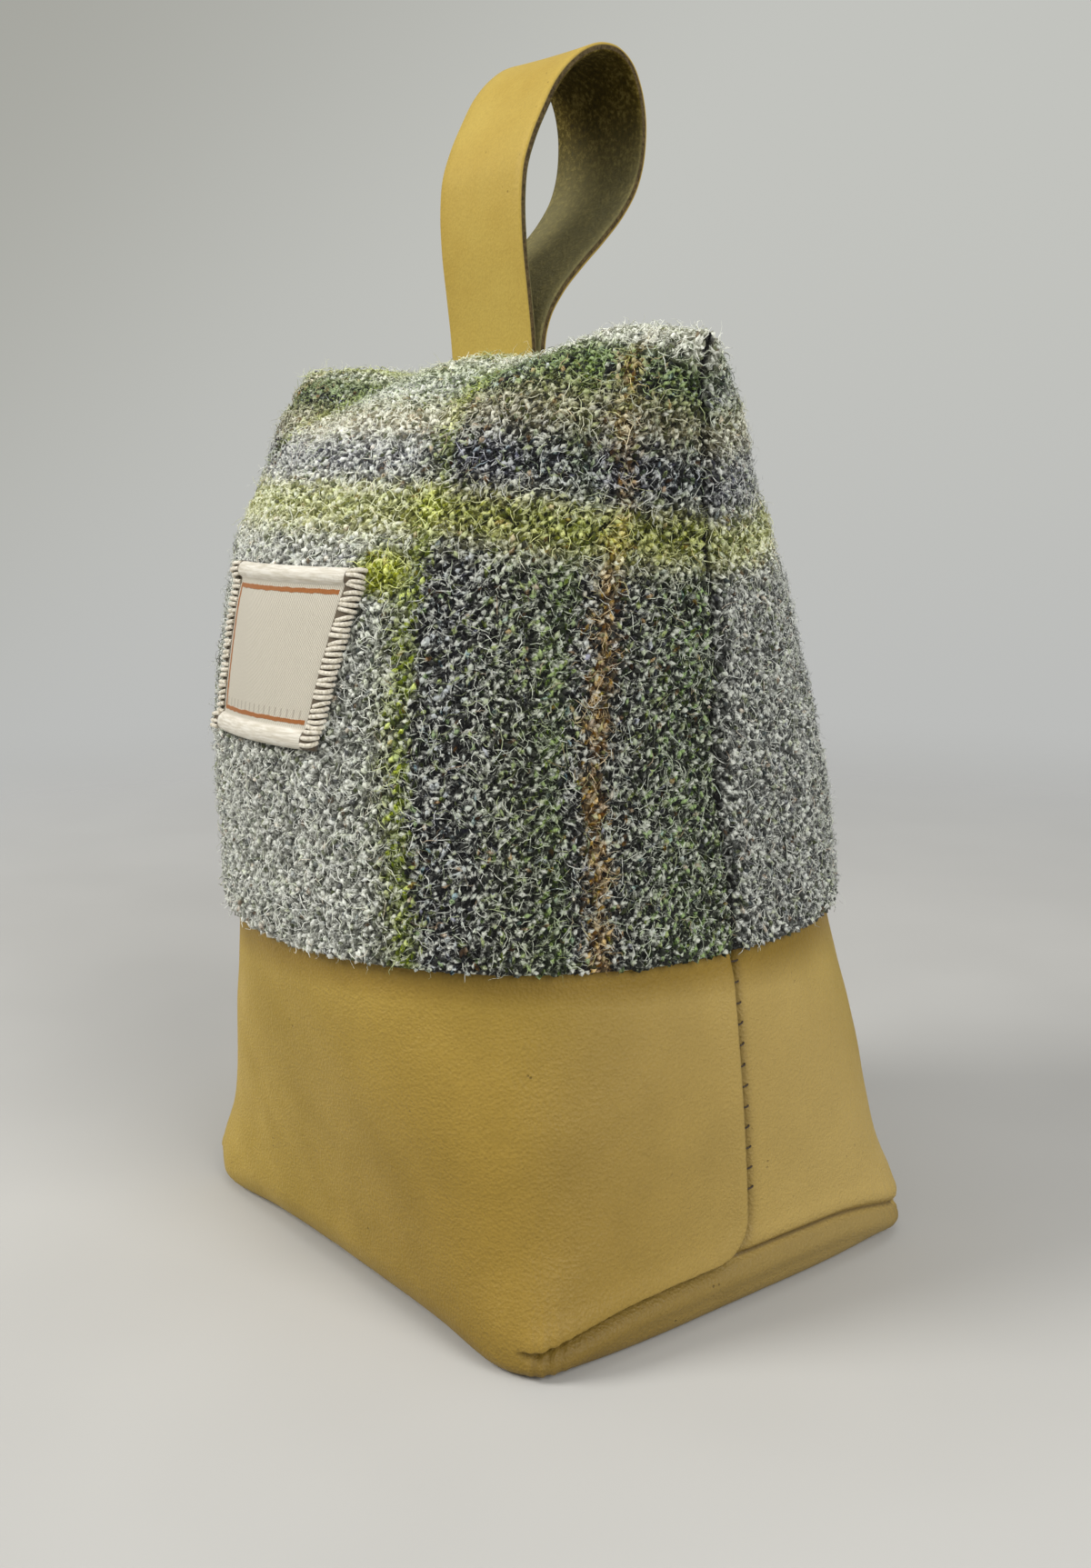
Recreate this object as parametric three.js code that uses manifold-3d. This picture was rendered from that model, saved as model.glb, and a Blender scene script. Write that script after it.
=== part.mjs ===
// Weighted fabric door stop: a tweed bag on a folded leather base, with a leather strap loop on top.
// Millimetres, +Z up. The ridge runs along X, the labelled front faces -Y, the base rests on z = 0.
import * as THREE from 'three';
import { mergeVertices } from 'three/addons/utils/BufferGeometryUtils.js';
import Module from 'manifold-3d';

// Driving dimensions
const HEIGHT = 202.9;          // floor to ridge
const WIDTH = 141;             // of the base, along the ridge
const DEPTH = 127.4;           // of the base, front to back
const HEM = 79.9;              // lower edge of the tweed
const TWEED = 2.3;             // cloth thickness with its backing
const LEATHER = 1.8;           // base leather
const GAP = 0.3;               // clearance between pieces that touch
const LEATHER_TUCK = 12;       // how far the leather runs up behind the tweed
const STRAP_WIDTH = 30;
const STRAP_THICKNESS = 2;
const STRAP_TAIL = 13;         // length of the strap ends below the ridge
const LEAN_X = -13.2;          // where the ridge sits over the base
const LEAN_Y = -9.1;
const RIDGE_BOW = 4.65;        // the ridge bends back at its middle, where the strap pulls it
const SEAM_OPENING = 0.22;     // half the clearance between the two panels along their seams
const FOOT_ROUND = { middle: 11.8, side: 4.1, corner: 3.3 };
const EAR = { size: 4.4, height: 8.1, spread: 12.5 };       // bulge of each boxed corner
const BOX_SEAM = { middle: 12.1, corner: 6.7, reach: 40 };  // heights, and half its sweep in degrees
const SIDE_GROOVE = 2;         // depth of the side seam in the leather
const PROUD_EDGE = { height: 0.5, place: 4.5, spread: 4 };  // the leather front's edge by the seam
const BASE_ROLL = 4;           // the fullest line of the strip below the boxed seam
const CLOTH_GROOVE = 1.5;      // depth of the side seam in the tweed
const THREAD_RADIUS = 0.45;
const STITCH_PITCH = 4;
const THREAD_TOP = 3;          // first stitch, below the hem
const THREAD_LENGTH = 50;
const FILL_SLACK = 0.8;        // room between the filling and its cover, besides the gap
const FILL_SINK = 4.2;         // how far the top of the filling lies under the cloth's outer face
const LABEL_WIDTH = 40.8;
const LABEL_HEIGHT = 35.1;
const LABEL_X = -4.4;          // middle of the label
const LABEL_RISE = 42.6;       // its lower edge above the hem
const LABEL_SLANT = 2.2;       // how far its ends lean over, each side of the middle
const LABEL_FLARE = 0.9;       // how much wider its lower edge lies than its middle
const LABEL_THICKNESS = 0.9;
const LABEL_ROLL = 0.7;        // how far the label's rolled top and bottom edges stand up

// Outline of the bag at each height: [height, half the width and half the depth as shares of
// WIDTH and DEPTH, squareness of the outline]
const UPPER = HEIGHT - HEM;
const BODY = [
  [0, 0.5, 0.5, 5.2],
  [HEM / 4, 0.503, 0.507, 4.26],
  [HEM, 0.4887, 0.5573, 2.14],
  [HEM + 0.28 * UPPER, 0.4723, 0.5526, 2.04],
  [HEM + 0.55 * UPPER, 0.4837, 0.5228, 1.7],
  [HEM + 0.78 * UPPER, 0.4929, 0.4215, 1.6],
  [HEM + 0.93 * UPPER, 0.5057, 0.2009, 2.29],
  [HEIGHT, 0.5255, 0.0078, 2.57],
];
// Rise and fall of the ridge, evenly spaced from its left end to its right end
const RIDGE_BUMPS = [-1.8, -1.8, -4.2, -0.2, -1.5, 3.3, 0.9];

// Columns round a quarter of the outline, measured along it from the side seam and from the middle
const FROM_SEAM = [0, 1.6, 4.5];
const FROM_MIDDLE = [18.4, 15.4, 7.7, 0];
const EVEN_STEPS = 8;
const QUARTER = FROM_SEAM.length - 1 + EVEN_STEPS + FROM_MIDDLE.length - 1;
const ROUND = 4 * QUARTER;

// Rows of the cloth: the hem's roll, the leather's tuck, then shares of the height above the hem
const HEM_ROLL = 1.2;
const CLOTH_SHARES = [0.21, 0.34, 0.47, 0.61, 0.748, 0.829, 0.886, 0.927, 0.955, 0.9756, 0.9878, 0.9951, 0.9988, 1];
const CLOTH_ROWS = [HEM, HEM + HEM_ROLL, HEM + LEATHER_TUCK / 3, HEM + LEATHER_TUCK]
  .concat(CLOTH_SHARES.map((share) => HEM + share * UPPER));
// Rows of the leather. The second number moves a row with the boxed seam's height.
const SEAM_BAND = 2.2;
const LEATHER_ROWS = [
  [0, 0], [0.5, 0], [1.6, 0], [3.2, 0.25], [-SEAM_BAND, 1], [0, 1], [SEAM_BAND, 1],
  [0.225 * HEM, 0.3], [0.325 * HEM, 0], [0.5 * HEM, 0], [0.7 * HEM, 0], [0.88 * HEM, 0],
  [HEM, 0], [HEM + LEATHER_TUCK, 0],
];
// Rows of the filling above the leather, as shares of the height above the hem
const FILL_SHARES = [0.21, 0.34, 0.47, 0.61, 0.748, 0.829, 0.886, 0.927, 0.951, 0.9675];

// Middle line of the strap loop in the YZ plane, above the ridge, as shares of its height
const LOOP_HEIGHT = 66.9;
const LOOP = [
  [-0.037, 0.196], [-0.056, 0.36], [-0.059, 0.495], [-0.049, 0.584], [-0.017, 0.674],
  [0.031, 0.767], [0.089, 0.86], [0.15, 0.922], [0.213, 0.964], [0.28, 0.985], [0.34, 0.981],
  [0.391, 0.949], [0.428, 0.889], [0.451, 0.809], [0.455, 0.713], [0.443, 0.629], [0.416, 0.555],
  [0.362, 0.475], [0.276, 0.384], [0.18, 0.294], [0.099, 0.208], [0.049, 0.133],
];
const LOOP_SHOULDER = 4.2;     // height over the ridge where the strap starts to spread

const wasm = await Module();
wasm.setup();

// Smooth curve through the given values that never overshoots them
function smoothThrough(xs, ys) {
  const steps = xs.slice(1).map((x, i) => x - xs[i]);
  const rates = steps.map((step, i) => (ys[i + 1] - ys[i]) / step);
  const slopes = xs.map((x, i) => {
    if (i === 0) return endSlope(steps[0], steps[1], rates[0], rates[1]);
    const last = rates.length - 1;
    if (i > last) return endSlope(steps[last], steps[last - 1], rates[last], rates[last - 1]);
    if (rates[i - 1] * rates[i] <= 0) return 0;
    const before = 2 * steps[i] + steps[i - 1];
    const after = steps[i] + 2 * steps[i - 1];
    return (before + after) / (before / rates[i - 1] + after / rates[i]);
  });
  return (x) => {
    const i = Math.min(Math.max(xs.findLastIndex((knot) => knot <= x), 0), steps.length - 1);
    const t = (x - xs[i]) / steps[i];
    const rise = t * t * (3 - 2 * t);
    const start = t * (1 - t) * (1 - t) * steps[i] * slopes[i];
    const end = t * t * (t - 1) * steps[i] * slopes[i + 1];
    return ys[i] + (ys[i + 1] - ys[i]) * rise + start + end;
  };
}

function endSlope(near, far, nearRate, farRate) {
  const slope = ((2 * near + far) * nearRate - near * farRate) / (near + far);
  if (slope * nearRate <= 0) return 0;
  if (nearRate * farRate <= 0 && Math.abs(slope) > 3 * Math.abs(nearRate)) return 3 * nearRate;
  return slope;
}

const heights = BODY.map((row) => row[0]);
const halfWidthAt = smoothThrough(heights, BODY.map((row) => row[1] * WIDTH));
const halfDepthSquaredAt = smoothThrough(heights, BODY.map((row) => (row[2] * DEPTH) ** 2));
const squarenessAt = smoothThrough(heights, BODY.map((row) => row[3]));

// Quarter outline from the side seam to the middle of a panel, as [x, y, length so far]
function quarterOutline(a, b, n) {
  const samples = 48;
  const turn = 0.5 ** (1 / n);
  const across = (u) => (1 - u ** n) ** (1 / n);
  const points = [];
  for (let k = 0; k <= samples; k += 1) {
    const v = (turn * k) / samples;
    points.push([a * across(v), b * v, 0]);
  }
  for (let k = samples - 1; k >= 0; k -= 1) {
    const u = (turn * k) / samples;
    points.push([a * u, b * across(u), 0]);
  }
  for (let k = 1; k < points.length; k += 1) {
    const [x, y, length] = points[k - 1];
    points[k][2] = length + Math.hypot(points[k][0] - x, points[k][1] - y);
  }
  return points;
}

function pointAlong(points, distance) {
  const wanted = Math.min(Math.max(distance, 0), points.at(-1)[2]);
  const k = Math.max(points.findIndex((point) => point[2] >= wanted), 1);
  const [x0, y0, l0] = points[k - 1];
  const [x1, y1, l1] = points[k];
  const t = (wanted - l0) / (l1 - l0);
  return [x0 + (x1 - x0) * t, y0 + (y1 - y0) * t];
}

// Distance of a column from its side seam, along a quarter of the given length
function columnDistance(step, length) {
  if (step < FROM_SEAM.length) return FROM_SEAM[step];
  const fromMiddle = QUARTER - step;
  if (fromMiddle < FROM_MIDDLE.length) return length - FROM_MIDDLE.at(-1 - fromMiddle);
  const start = FROM_SEAM.at(-1);
  const share = (step - FROM_SEAM.length + 1) / EVEN_STEPS;
  return start + (length - FROM_MIDDLE[0] - start) * share;
}

function ridgeBump(across) {
  const last = RIDGE_BUMPS.length - 1;
  const place = ((Math.min(Math.max(across, -1), 1) + 1) / 2) * last;
  const i = Math.min(Math.floor(place), last - 1);
  return RIDGE_BUMPS[i] + (RIDGE_BUMPS[i + 1] - RIDGE_BUMPS[i]) * (place - i);
}

function middleY(across, z) {
  const rise = z / HEIGHT;
  return LEAN_Y * rise ** 1.5 + RIDGE_BOW * (1 - across ** 2) * rise ** 6;
}

// Height of the boxed seam where the outline has turned by the given angle from the side
function boxSeamHeight(angle) {
  const share = Math.min(angle / BOX_SEAM.reach, 1);
  return BOX_SEAM.corner + (BOX_SEAM.middle - BOX_SEAM.corner) * Math.cos((share * Math.PI) / 2);
}

function footInset(z, angle) {
  const corner = Math.abs(Math.sin(2 * angle)) ** 3;
  const side = Math.cos(angle) ** 2;
  const along = FOOT_ROUND.side * side + FOOT_ROUND.middle * (1 - side);
  const radius = along * (1 - corner) + FOOT_ROUND.corner * corner;
  const up = Math.min(Math.max(z / radius, 0), 1);
  const inset = radius * (1 - Math.sqrt(1 - (1 - up) ** 2));
  const bulge = EAR.size * corner * Math.exp(-(((z - EAR.height) / EAR.spread) ** 2));
  return inset - bulge;
}

// Point of the bag's surface at a column and height, with the outline drawn in by shrink
function place(column, z, shrink) {
  const index = ((column % ROUND) + ROUND) % ROUND;
  const quadrant = Math.floor(index / QUARTER);
  const odd = quadrant % 2 === 1;
  const step = odd ? QUARTER - (index % QUARTER) : index % QUARTER;
  const signX = quadrant === 1 || quadrant === 2 ? -1 : 1;
  const signY = quadrant < 2 ? 1 : -1;
  const a = halfWidthAt(z) - shrink;
  const b = Math.sqrt(halfDepthSquaredAt(z)) - shrink;
  const n = squarenessAt(z);
  const outline = quarterOutline(a, b, n);
  const distance = columnDistance(step, outline.at(-1)[2]);
  const [x, y] = pointAlong(outline, distance);
  const angle = Math.atan2((y / b) ** (n / 2), (x / a) ** (n / 2));
  const scale = 1 - footInset(z, angle) / Math.hypot(x, y);
  const across = (signX * x * scale) / a;
  const rise = z / HEIGHT;
  const point = new THREE.Vector3(
    signX * x * scale + LEAN_X * rise ** 1.5,
    signY * y * scale + middleY(across, z),
    z + ridgeBump(across) * rise ** 6,
  );
  const steepX = (signX * (x / a) ** (n - 1)) / a;
  const steepY = (signY * (y / b) ** (n - 1)) / b;
  const flat = new THREE.Vector3(steepX, steepY, 0).normalize();
  return { point, flat, across, angle: (angle * 180) / Math.PI, fromSeam: distance, signX, signY };
}

// The same point with its outward normal
function skin(column, z, shrink) {
  const small = 0.02;
  const here = place(column, z, shrink);
  const above = place(column, Math.min(z + small, HEIGHT), shrink).point;
  const below = place(column, Math.max(z - small, 0), shrink).point;
  const change = above.sub(below);
  const outward = change.dot(here.flat) / change.z;
  here.normal = new THREE.Vector3(here.flat.x, here.flat.y, -outward).normalize();
  return here;
}

// Turns a stock geometry into a closed piece: every vertex is moved, then shared vertices are joined
function shaped(geometry, move) {
  const position = geometry.attributes.position;
  const vertex = new THREE.Vector3();
  for (let i = 0; i < position.count; i += 1) {
    const moved = move(vertex.fromBufferAttribute(position, i), i);
    position.setXYZ(i, moved.x, moved.y, moved.z);
  }
  geometry.deleteAttribute('normal');
  geometry.deleteAttribute('uv');
  const joined = mergeVertices(geometry, 1e-4);
  const corners = joined.index.array;
  const kept = [];
  for (let i = 0; i < corners.length; i += 3) {
    const [a, b, c] = corners.slice(i, i + 3);
    if (a !== b && b !== c && c !== a) kept.push(a, b, c);
  }
  joined.setIndex(volume(joined.attributes.position, kept) < 0 ? kept.reverse() : kept);
  joined.computeVertexNormals();
  return joined;
}

function volume(position, corners) {
  const [a, b, c] = [new THREE.Vector3(), new THREE.Vector3(), new THREE.Vector3()];
  let sum = 0;
  for (let i = 0; i < corners.length; i += 3) {
    a.fromBufferAttribute(position, corners[i]);
    b.fromBufferAttribute(position, corners[i + 1]);
    c.fromBufferAttribute(position, corners[i + 2]);
    sum += a.dot(b.cross(c)) / 6;
  }
  return sum;
}

// Half the opening of the ridge seam: shut along its length, open where the strap passes through
function ridgeOpening(x) {
  const open = STRAP_THICKNESS + GAP / 2 + GAP;
  const shut = SEAM_OPENING;
  const [outer, inner] = FROM_MIDDLE;
  const share = Math.min(Math.max((outer - Math.abs(x - LEAN_X)) / (outer - inner), 0), 1);
  return shut + (open - shut) * share;
}

function keepToSide(point, z, across, signY) {
  const middle = middleY(across, z);
  const least = z > HEIGHT - 1 ? ridgeOpening(point.x) : SEAM_OPENING;
  const offset = Math.max((point.y - middle) * signY, least);
  return point.setY(middle + offset * signY);
}

// How far the tweed's outer face dips at the side seams and rolls in at the turned hem
function clothRelief(at, z) {
  const fade = Math.min((HEIGHT - z) / 12, 1);
  const seam = -CLOTH_GROOVE * Math.exp(-((at.fromSeam / 1.7) ** 2)) * fade;
  const hem = -0.9 * Math.max(1 - (z - HEM) / HEM_ROLL, 0);
  return seam + hem;
}

// A tweed panel: a slab with its columns bent round half the bag and its rows set up its height
function tweedPanel(signY) {
  const columns = ROUND / 2;
  const rows = CLOTH_ROWS.length - 1;
  const first = signY > 0 ? 0 : columns;
  const slab = new THREE.BoxGeometry(1, 1, 1, columns, rows, 1);
  return shaped(slab, (vertex) => {
    const column = first + Math.round((vertex.x + 0.5) * columns);
    const z = CLOTH_ROWS[Math.round((vertex.y + 0.5) * rows)];
    const at = skin(column, z, 0);
    const depth = vertex.z > 0 ? -clothRelief(at, z) : TWEED;
    at.point.addScaledVector(at.normal, -depth);
    return keepToSide(at.point, z, at.across, signY);
  });
}

// Seams of the leather: the side seam with its proud front edge, and the boxed seam below it
function leatherRelief(at, z) {
  const seamHeight = boxSeamHeight(at.angle);
  const front = at.signY < 0;
  const near = Math.exp(-((at.fromSeam / (front ? 1.3 : 2)) ** 2));
  const start = Math.min(Math.max((z - BOX_SEAM.middle) / 5, 0), 1);
  const bare = Math.min(Math.max((HEM - z) / 8, 0), 1);
  const beyond = (at.fromSeam - PROUD_EDGE.place) / PROUD_EDGE.spread;
  const edge = front ? PROUD_EDGE.height * bare * Math.exp(-(beyond ** 2)) : 0;
  const side = start * (edge - SIDE_GROOVE * near);
  const reach = Math.min(Math.max((BOX_SEAM.reach + 6 - at.angle) / 6, 0), 1);
  const groove = -1 * Math.exp(-(((z - seamHeight) / 1.1) ** 2));
  const strip = 0.7 * Math.exp(-(((z - seamHeight + BASE_ROLL) / 2.4) ** 2));
  return side + reach * (groove + strip) * Math.min(z / 2, 1);
}

const LEATHER_SHRINK = TWEED + GAP;

function leatherRowHeight(column, [base, follow]) {
  const { angle } = place(column, HEM / 4, LEATHER_SHRINK);
  return base + follow * boxSeamHeight(angle);
}

// The base is one piece of leather, folded up at the sides: a cup turned from its wall's section,
// then pressed to the bag's outline
function leatherBase() {
  const rows = LEATHER_ROWS.length;
  const stations = [{ pole: 0 }];
  LEATHER_ROWS.forEach((row) => stations.push({ row, inside: false }));
  LEATHER_ROWS.toReversed().forEach((row) => stations.push({ row, inside: true }));
  stations.push({ pole: LEATHER });
  const section = stations.map((station, k) => {
    if ('pole' in station) return new THREE.Vector2(0, station.pole);
    const height = k <= rows ? k : 2 * rows + 1 - k;
    return new THREE.Vector2(station.inside ? WIDTH / 2 - LEATHER : WIDTH / 2, height);
  });
  return shaped(new THREE.LatheGeometry(section, ROUND), (vertex, i) => {
    const station = stations[i % stations.length];
    if ('pole' in station) return new THREE.Vector3(0, 0, station.pole);
    const column = Math.floor(i / stations.length);
    const z = leatherRowHeight(column, station.row);
    const at = skin(column, z, LEATHER_SHRINK);
    const relief = leatherRelief(at, z);
    const lump = 0.6 * Math.exp(-((at.fromSeam / 2) ** 2));
    const depth = station.inside ? LEATHER + Math.max(-relief, 0) * lump : -relief;
    at.point.addScaledVector(at.normal, -depth);
    if (z === 0) at.point.z = station.inside ? LEATHER : 0;
    return at.point;
  });
}

// The sealed inner bag of heavy fill: a block bent to the inside of the cover
function fillingBag() {
  const columns = ROUND / 2 - 2;
  const behindLeather = { shrink: LEATHER_SHRINK, depth: LEATHER + GAP + FILL_SLACK };
  const behindCloth = { shrink: TWEED + GAP + FILL_SLACK, depth: 0 };
  const levels = [
    ...LEATHER_ROWS.map((row) => ({ row, ...behindLeather })),
    { row: [HEM + LEATHER_TUCK + 1, 0], ...behindLeather },
    { row: [HEM + LEATHER_TUCK + 3, 0], ...behindCloth },
    ...FILL_SHARES.map((share) => ({ row: [HEM + share * UPPER, 0], ...behindCloth })),
  ];
  const block = new THREE.BoxGeometry(1, 1, 1, columns, levels.length - 1, 1);
  return shaped(block, (vertex) => {
    const across = Math.round((vertex.x + 0.5) * columns);
    const level = levels[Math.round((vertex.y + 0.5) * (levels.length - 1))];
    const column = vertex.z < 0 ? ROUND / 2 + 1 + across : ROUND / 2 - 1 - across;
    const z = leatherRowHeight(column, level.row);
    const at = skin(column, z, level.shrink);
    const recess = 1.6 * Math.exp(-((at.fromSeam / 3) ** 2));
    at.point.addScaledVector(at.normal, -level.depth - recess);
    const sink = level.depth ? 0 : FILL_SINK * ((z - HEM) / UPPER) ** 2;
    at.point.z = Math.max(at.point.z - sink, LEATHER + GAP);
    return at.point;
  });
}

// Cuts a straight pocket in the filling, for the strap's ends below the ridge
function cutPocket(geometry) {
  const y = strapMiddleY();
  const size = [STRAP_WIDTH + 2, 2 * STRAP_THICKNESS + 2, 3 * STRAP_TAIL];
  const box = new THREE.BoxGeometry(...size);
  box.translate(LEAN_X, y, HEIGHT - STRAP_TAIL - 1.5 + size[2] / 2);
  const cut = solid(geometry).subtract(solid(shaped(box, (vertex) => vertex)));
  const mesh = cut.getMesh();
  const result = new THREE.BufferGeometry();
  result.setAttribute('position', new THREE.BufferAttribute(mesh.vertProperties, mesh.numProp));
  result.setIndex(new THREE.BufferAttribute(mesh.triVerts, 1));
  result.computeVertexNormals();
  return result;
}

function solid(geometry) {
  const vertProperties = new Float32Array(geometry.attributes.position.array);
  const triVerts = new Uint32Array(geometry.index.array);
  return new wasm.Manifold(new wasm.Mesh({ numProp: 3, vertProperties, triVerts }));
}

function strapMiddleY() {
  return middleY(0, HEIGHT);
}

// The strap: a flat section swept up from inside the ridge, round the loop and back down
function handleStrap() {
  const side = (STRAP_THICKNESS + GAP) / 2;
  const front = strapMiddleY() - side;
  const back = strapMiddleY() + side;
  const low = HEIGHT - STRAP_TAIL;
  const shoulder = HEIGHT + LOOP_SHOULDER;
  const line = [
    [front, low], [front, low + STRAP_TAIL / 2], [front, HEIGHT], [front - 0.3, shoulder],
    ...LOOP.map(([y, z]) => [strapMiddleY() + y * LOOP_HEIGHT, HEIGHT + z * LOOP_HEIGHT]),
    [back + 0.5, shoulder], [back, HEIGHT], [back, low + STRAP_TAIL / 2], [back, low],
  ];
  const path = new THREE.CatmullRomCurve3(line.map(([y, z]) => new THREE.Vector3(LEAN_X, y, z)));
  const [w, t, bevel] = [STRAP_WIDTH / 2, STRAP_THICKNESS / 2, 0.5];
  const outline = new THREE.Shape([
    new THREE.Vector2(-t, -w + bevel), new THREE.Vector2(-t + bevel, -w),
    new THREE.Vector2(t - bevel, -w), new THREE.Vector2(t, -w + bevel),
    new THREE.Vector2(t, w - bevel), new THREE.Vector2(t - bevel, w),
    new THREE.Vector2(-t + bevel, w), new THREE.Vector2(-t, w - bevel),
  ]);
  const options = { steps: 56, extrudePath: path, bevelEnabled: false };
  return shaped(new THREE.ExtrudeGeometry(outline, options), (vertex) => vertex);
}

// Front face of the cloth at a place given by x and z
function frontFace(x, z, out) {
  const a = halfWidthAt(z);
  const b = Math.sqrt(halfDepthSquaredAt(z));
  const n = squarenessAt(z);
  const across = (x - LEAN_X * (z / HEIGHT) ** 1.5) / a;
  const y = middleY(across, z) - b * (1 - Math.abs(across) ** n) ** (1 / n);
  const slope = Math.sign(across) * Math.abs(across) ** (n - 1) * (b / a);
  const fall = Math.sqrt(halfDepthSquaredAt(z + 0.5)) - Math.sqrt(halfDepthSquaredAt(z - 0.5));
  const normal = new THREE.Vector3(slope, -1, -fall).normalize();
  return new THREE.Vector3(x, y, z).addScaledVector(normal, out);
}

// The woven label: a thin patch laid on the front, its top and bottom edges rolled over
function wovenLabel() {
  const rises = [0, 0.05, 0.11, 0.24, 0.42, 0.6, 0.78, 0.89, 0.95, 1];
  const rows = rises.length - 1;
  const columns = 8;
  const patch = new THREE.BoxGeometry(1, 1, 1, columns, rows, 1);
  return shaped(patch, (vertex) => {
    const u = vertex.x + 0.5;
    const row = Math.round((vertex.y + 0.5) * rows);
    const v = rises[row];
    const width = LABEL_WIDTH + LABEL_FLARE * (1 - 2 * v);
    const x = LABEL_X + LABEL_SLANT * (2 * v - 1) + (u - 0.5) * width;
    const z = HEM + LABEL_RISE + v * LABEL_HEIGHT;
    const rolled = row === 1 || row === rows - 1 ? LABEL_ROLL : 0;
    const back = GAP + 0.1;
    const out = vertex.z < 0 ? back : back + LABEL_THICKNESS + rolled;
    return frontFace(x, z, out);
  });
}

// Thread of a leather side seam: it crosses from edge to edge of the groove at every stitch
function seamThread(signX) {
  const top = HEM - THREAD_TOP;
  const count = Math.round(THREAD_LENGTH / (STITCH_PITCH / 2));
  const points = [];
  for (let k = 0; k <= count; k += 1) {
    const z = top - (k * STITCH_PITCH) / 2;
    const at = skin(signX > 0 ? 0 : ROUND / 2, z, LEATHER_SHRINK);
    at.point.addScaledVector(at.normal, 0.1);
    at.point.y += k % 2 ? 0.8 : -0.8;
    points.push(at.point);
  }
  const path = new THREE.CatmullRomCurve3(points);
  const outline = new THREE.Shape();
  for (let k = 0; k < 6; k += 1) {
    const turn = (k / 6) * 2 * Math.PI;
    const corner = [THREAD_RADIUS * Math.cos(turn), THREAD_RADIUS * Math.sin(turn)];
    if (k === 0) outline.moveTo(...corner);
    else outline.lineTo(...corner);
  }
  outline.closePath();
  const options = { steps: 2 * count, extrudePath: path, bevelEnabled: false };
  return shaped(new THREE.ExtrudeGeometry(outline, options), (vertex) => vertex);
}

const doorStop = new THREE.Group();

function add(name, geometry, color, roughness) {
  const material = new THREE.MeshStandardMaterial({ color, roughness, metalness: 0 });
  const mesh = new THREE.Mesh(geometry, material);
  mesh.name = name;
  doorStop.add(mesh);
}

add('leather_base', leatherBase(), 0xa98f4e, 0.55);
add('tweed_front', tweedPanel(-1), 0x9b9a92, 0.95);
add('tweed_back', tweedPanel(1), 0x9b9a92, 0.95);
add('handle_strap', handleStrap(), 0xc9a75f, 0.5);
add('woven_label', wovenLabel(), 0xe6dec6, 0.8);
add('seam_thread_right', seamThread(1), 0x3a2f24, 0.85);
add('seam_thread_left', seamThread(-1), 0x3a2f24, 0.85);
add('filling_bag', cutPocket(fillingBag()), 0xd8d4ca, 0.9);

export default doorStop;
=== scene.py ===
# %% [markdown]
# # A weighted door stop in tweed and leather
# The real thing is a small heavy bag. Its lower half is one folded piece of tan leather, its upper half
# two tweed panels sewn together at the sides and drawn up to a ridge, with a leather strap loop on top
# and a woven patch on the front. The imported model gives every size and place, and this file gives each
# of its pieces the look of the real cloth, hide and thread.

import bpy
import math
import numpy as np
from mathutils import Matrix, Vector
from types import SimpleNamespace


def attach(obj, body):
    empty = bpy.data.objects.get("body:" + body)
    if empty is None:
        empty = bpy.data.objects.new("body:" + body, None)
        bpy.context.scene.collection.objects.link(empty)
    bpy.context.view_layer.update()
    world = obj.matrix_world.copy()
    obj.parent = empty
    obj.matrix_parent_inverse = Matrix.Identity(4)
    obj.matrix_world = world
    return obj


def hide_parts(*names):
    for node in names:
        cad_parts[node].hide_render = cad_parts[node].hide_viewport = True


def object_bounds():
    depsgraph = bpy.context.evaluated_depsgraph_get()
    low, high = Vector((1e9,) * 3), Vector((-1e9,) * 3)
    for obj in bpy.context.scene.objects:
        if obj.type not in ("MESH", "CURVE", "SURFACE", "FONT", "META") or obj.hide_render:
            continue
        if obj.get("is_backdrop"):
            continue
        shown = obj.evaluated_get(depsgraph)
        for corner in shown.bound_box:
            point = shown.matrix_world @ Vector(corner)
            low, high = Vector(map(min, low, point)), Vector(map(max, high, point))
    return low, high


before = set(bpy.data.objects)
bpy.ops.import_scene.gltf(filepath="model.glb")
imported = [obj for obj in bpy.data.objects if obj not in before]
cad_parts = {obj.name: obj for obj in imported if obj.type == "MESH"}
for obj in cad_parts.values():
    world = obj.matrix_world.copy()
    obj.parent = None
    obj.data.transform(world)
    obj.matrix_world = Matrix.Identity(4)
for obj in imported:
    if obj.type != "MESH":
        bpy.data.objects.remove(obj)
solid_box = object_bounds()
print("pieces in the frame:", sorted(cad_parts))

# %% [markdown]
# ## Camera
# The door stop is seen from a little above, turned so that the long front and one short side show. The
# place and the angle come from matching the outlines of the solids to the outlines of the real one.

# %% Camera
camera_turn, camera_dip = math.radians(51.31), math.radians(11.4)
ahead = Vector((
    -math.sin(camera_turn) * math.cos(camera_dip),
    math.cos(camera_turn) * math.cos(camera_dip),
    -math.sin(camera_dip),
))
lens = bpy.data.cameras.new("camera")
lens.lens = 37.76
lens.clip_start = 0.01
camera = bpy.data.objects.new("camera", lens)
camera.location = (0.2963, -0.23824, 0.18129)
camera.rotation_euler = ahead.to_track_quat("-Z", "Y").to_euler()
bpy.context.scene.collection.objects.link(camera)
bpy.context.scene.camera = camera
print("camera", round(camera.location.length, 3), "m from the middle of the base")

# %% [markdown]
# ## Small helpers for node trees
# Every finish and every repeated detail below is a tree of nodes. One helper adds a node, sets its
# values and joins its inputs, so that a tree reads from top to bottom like a recipe.


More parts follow.
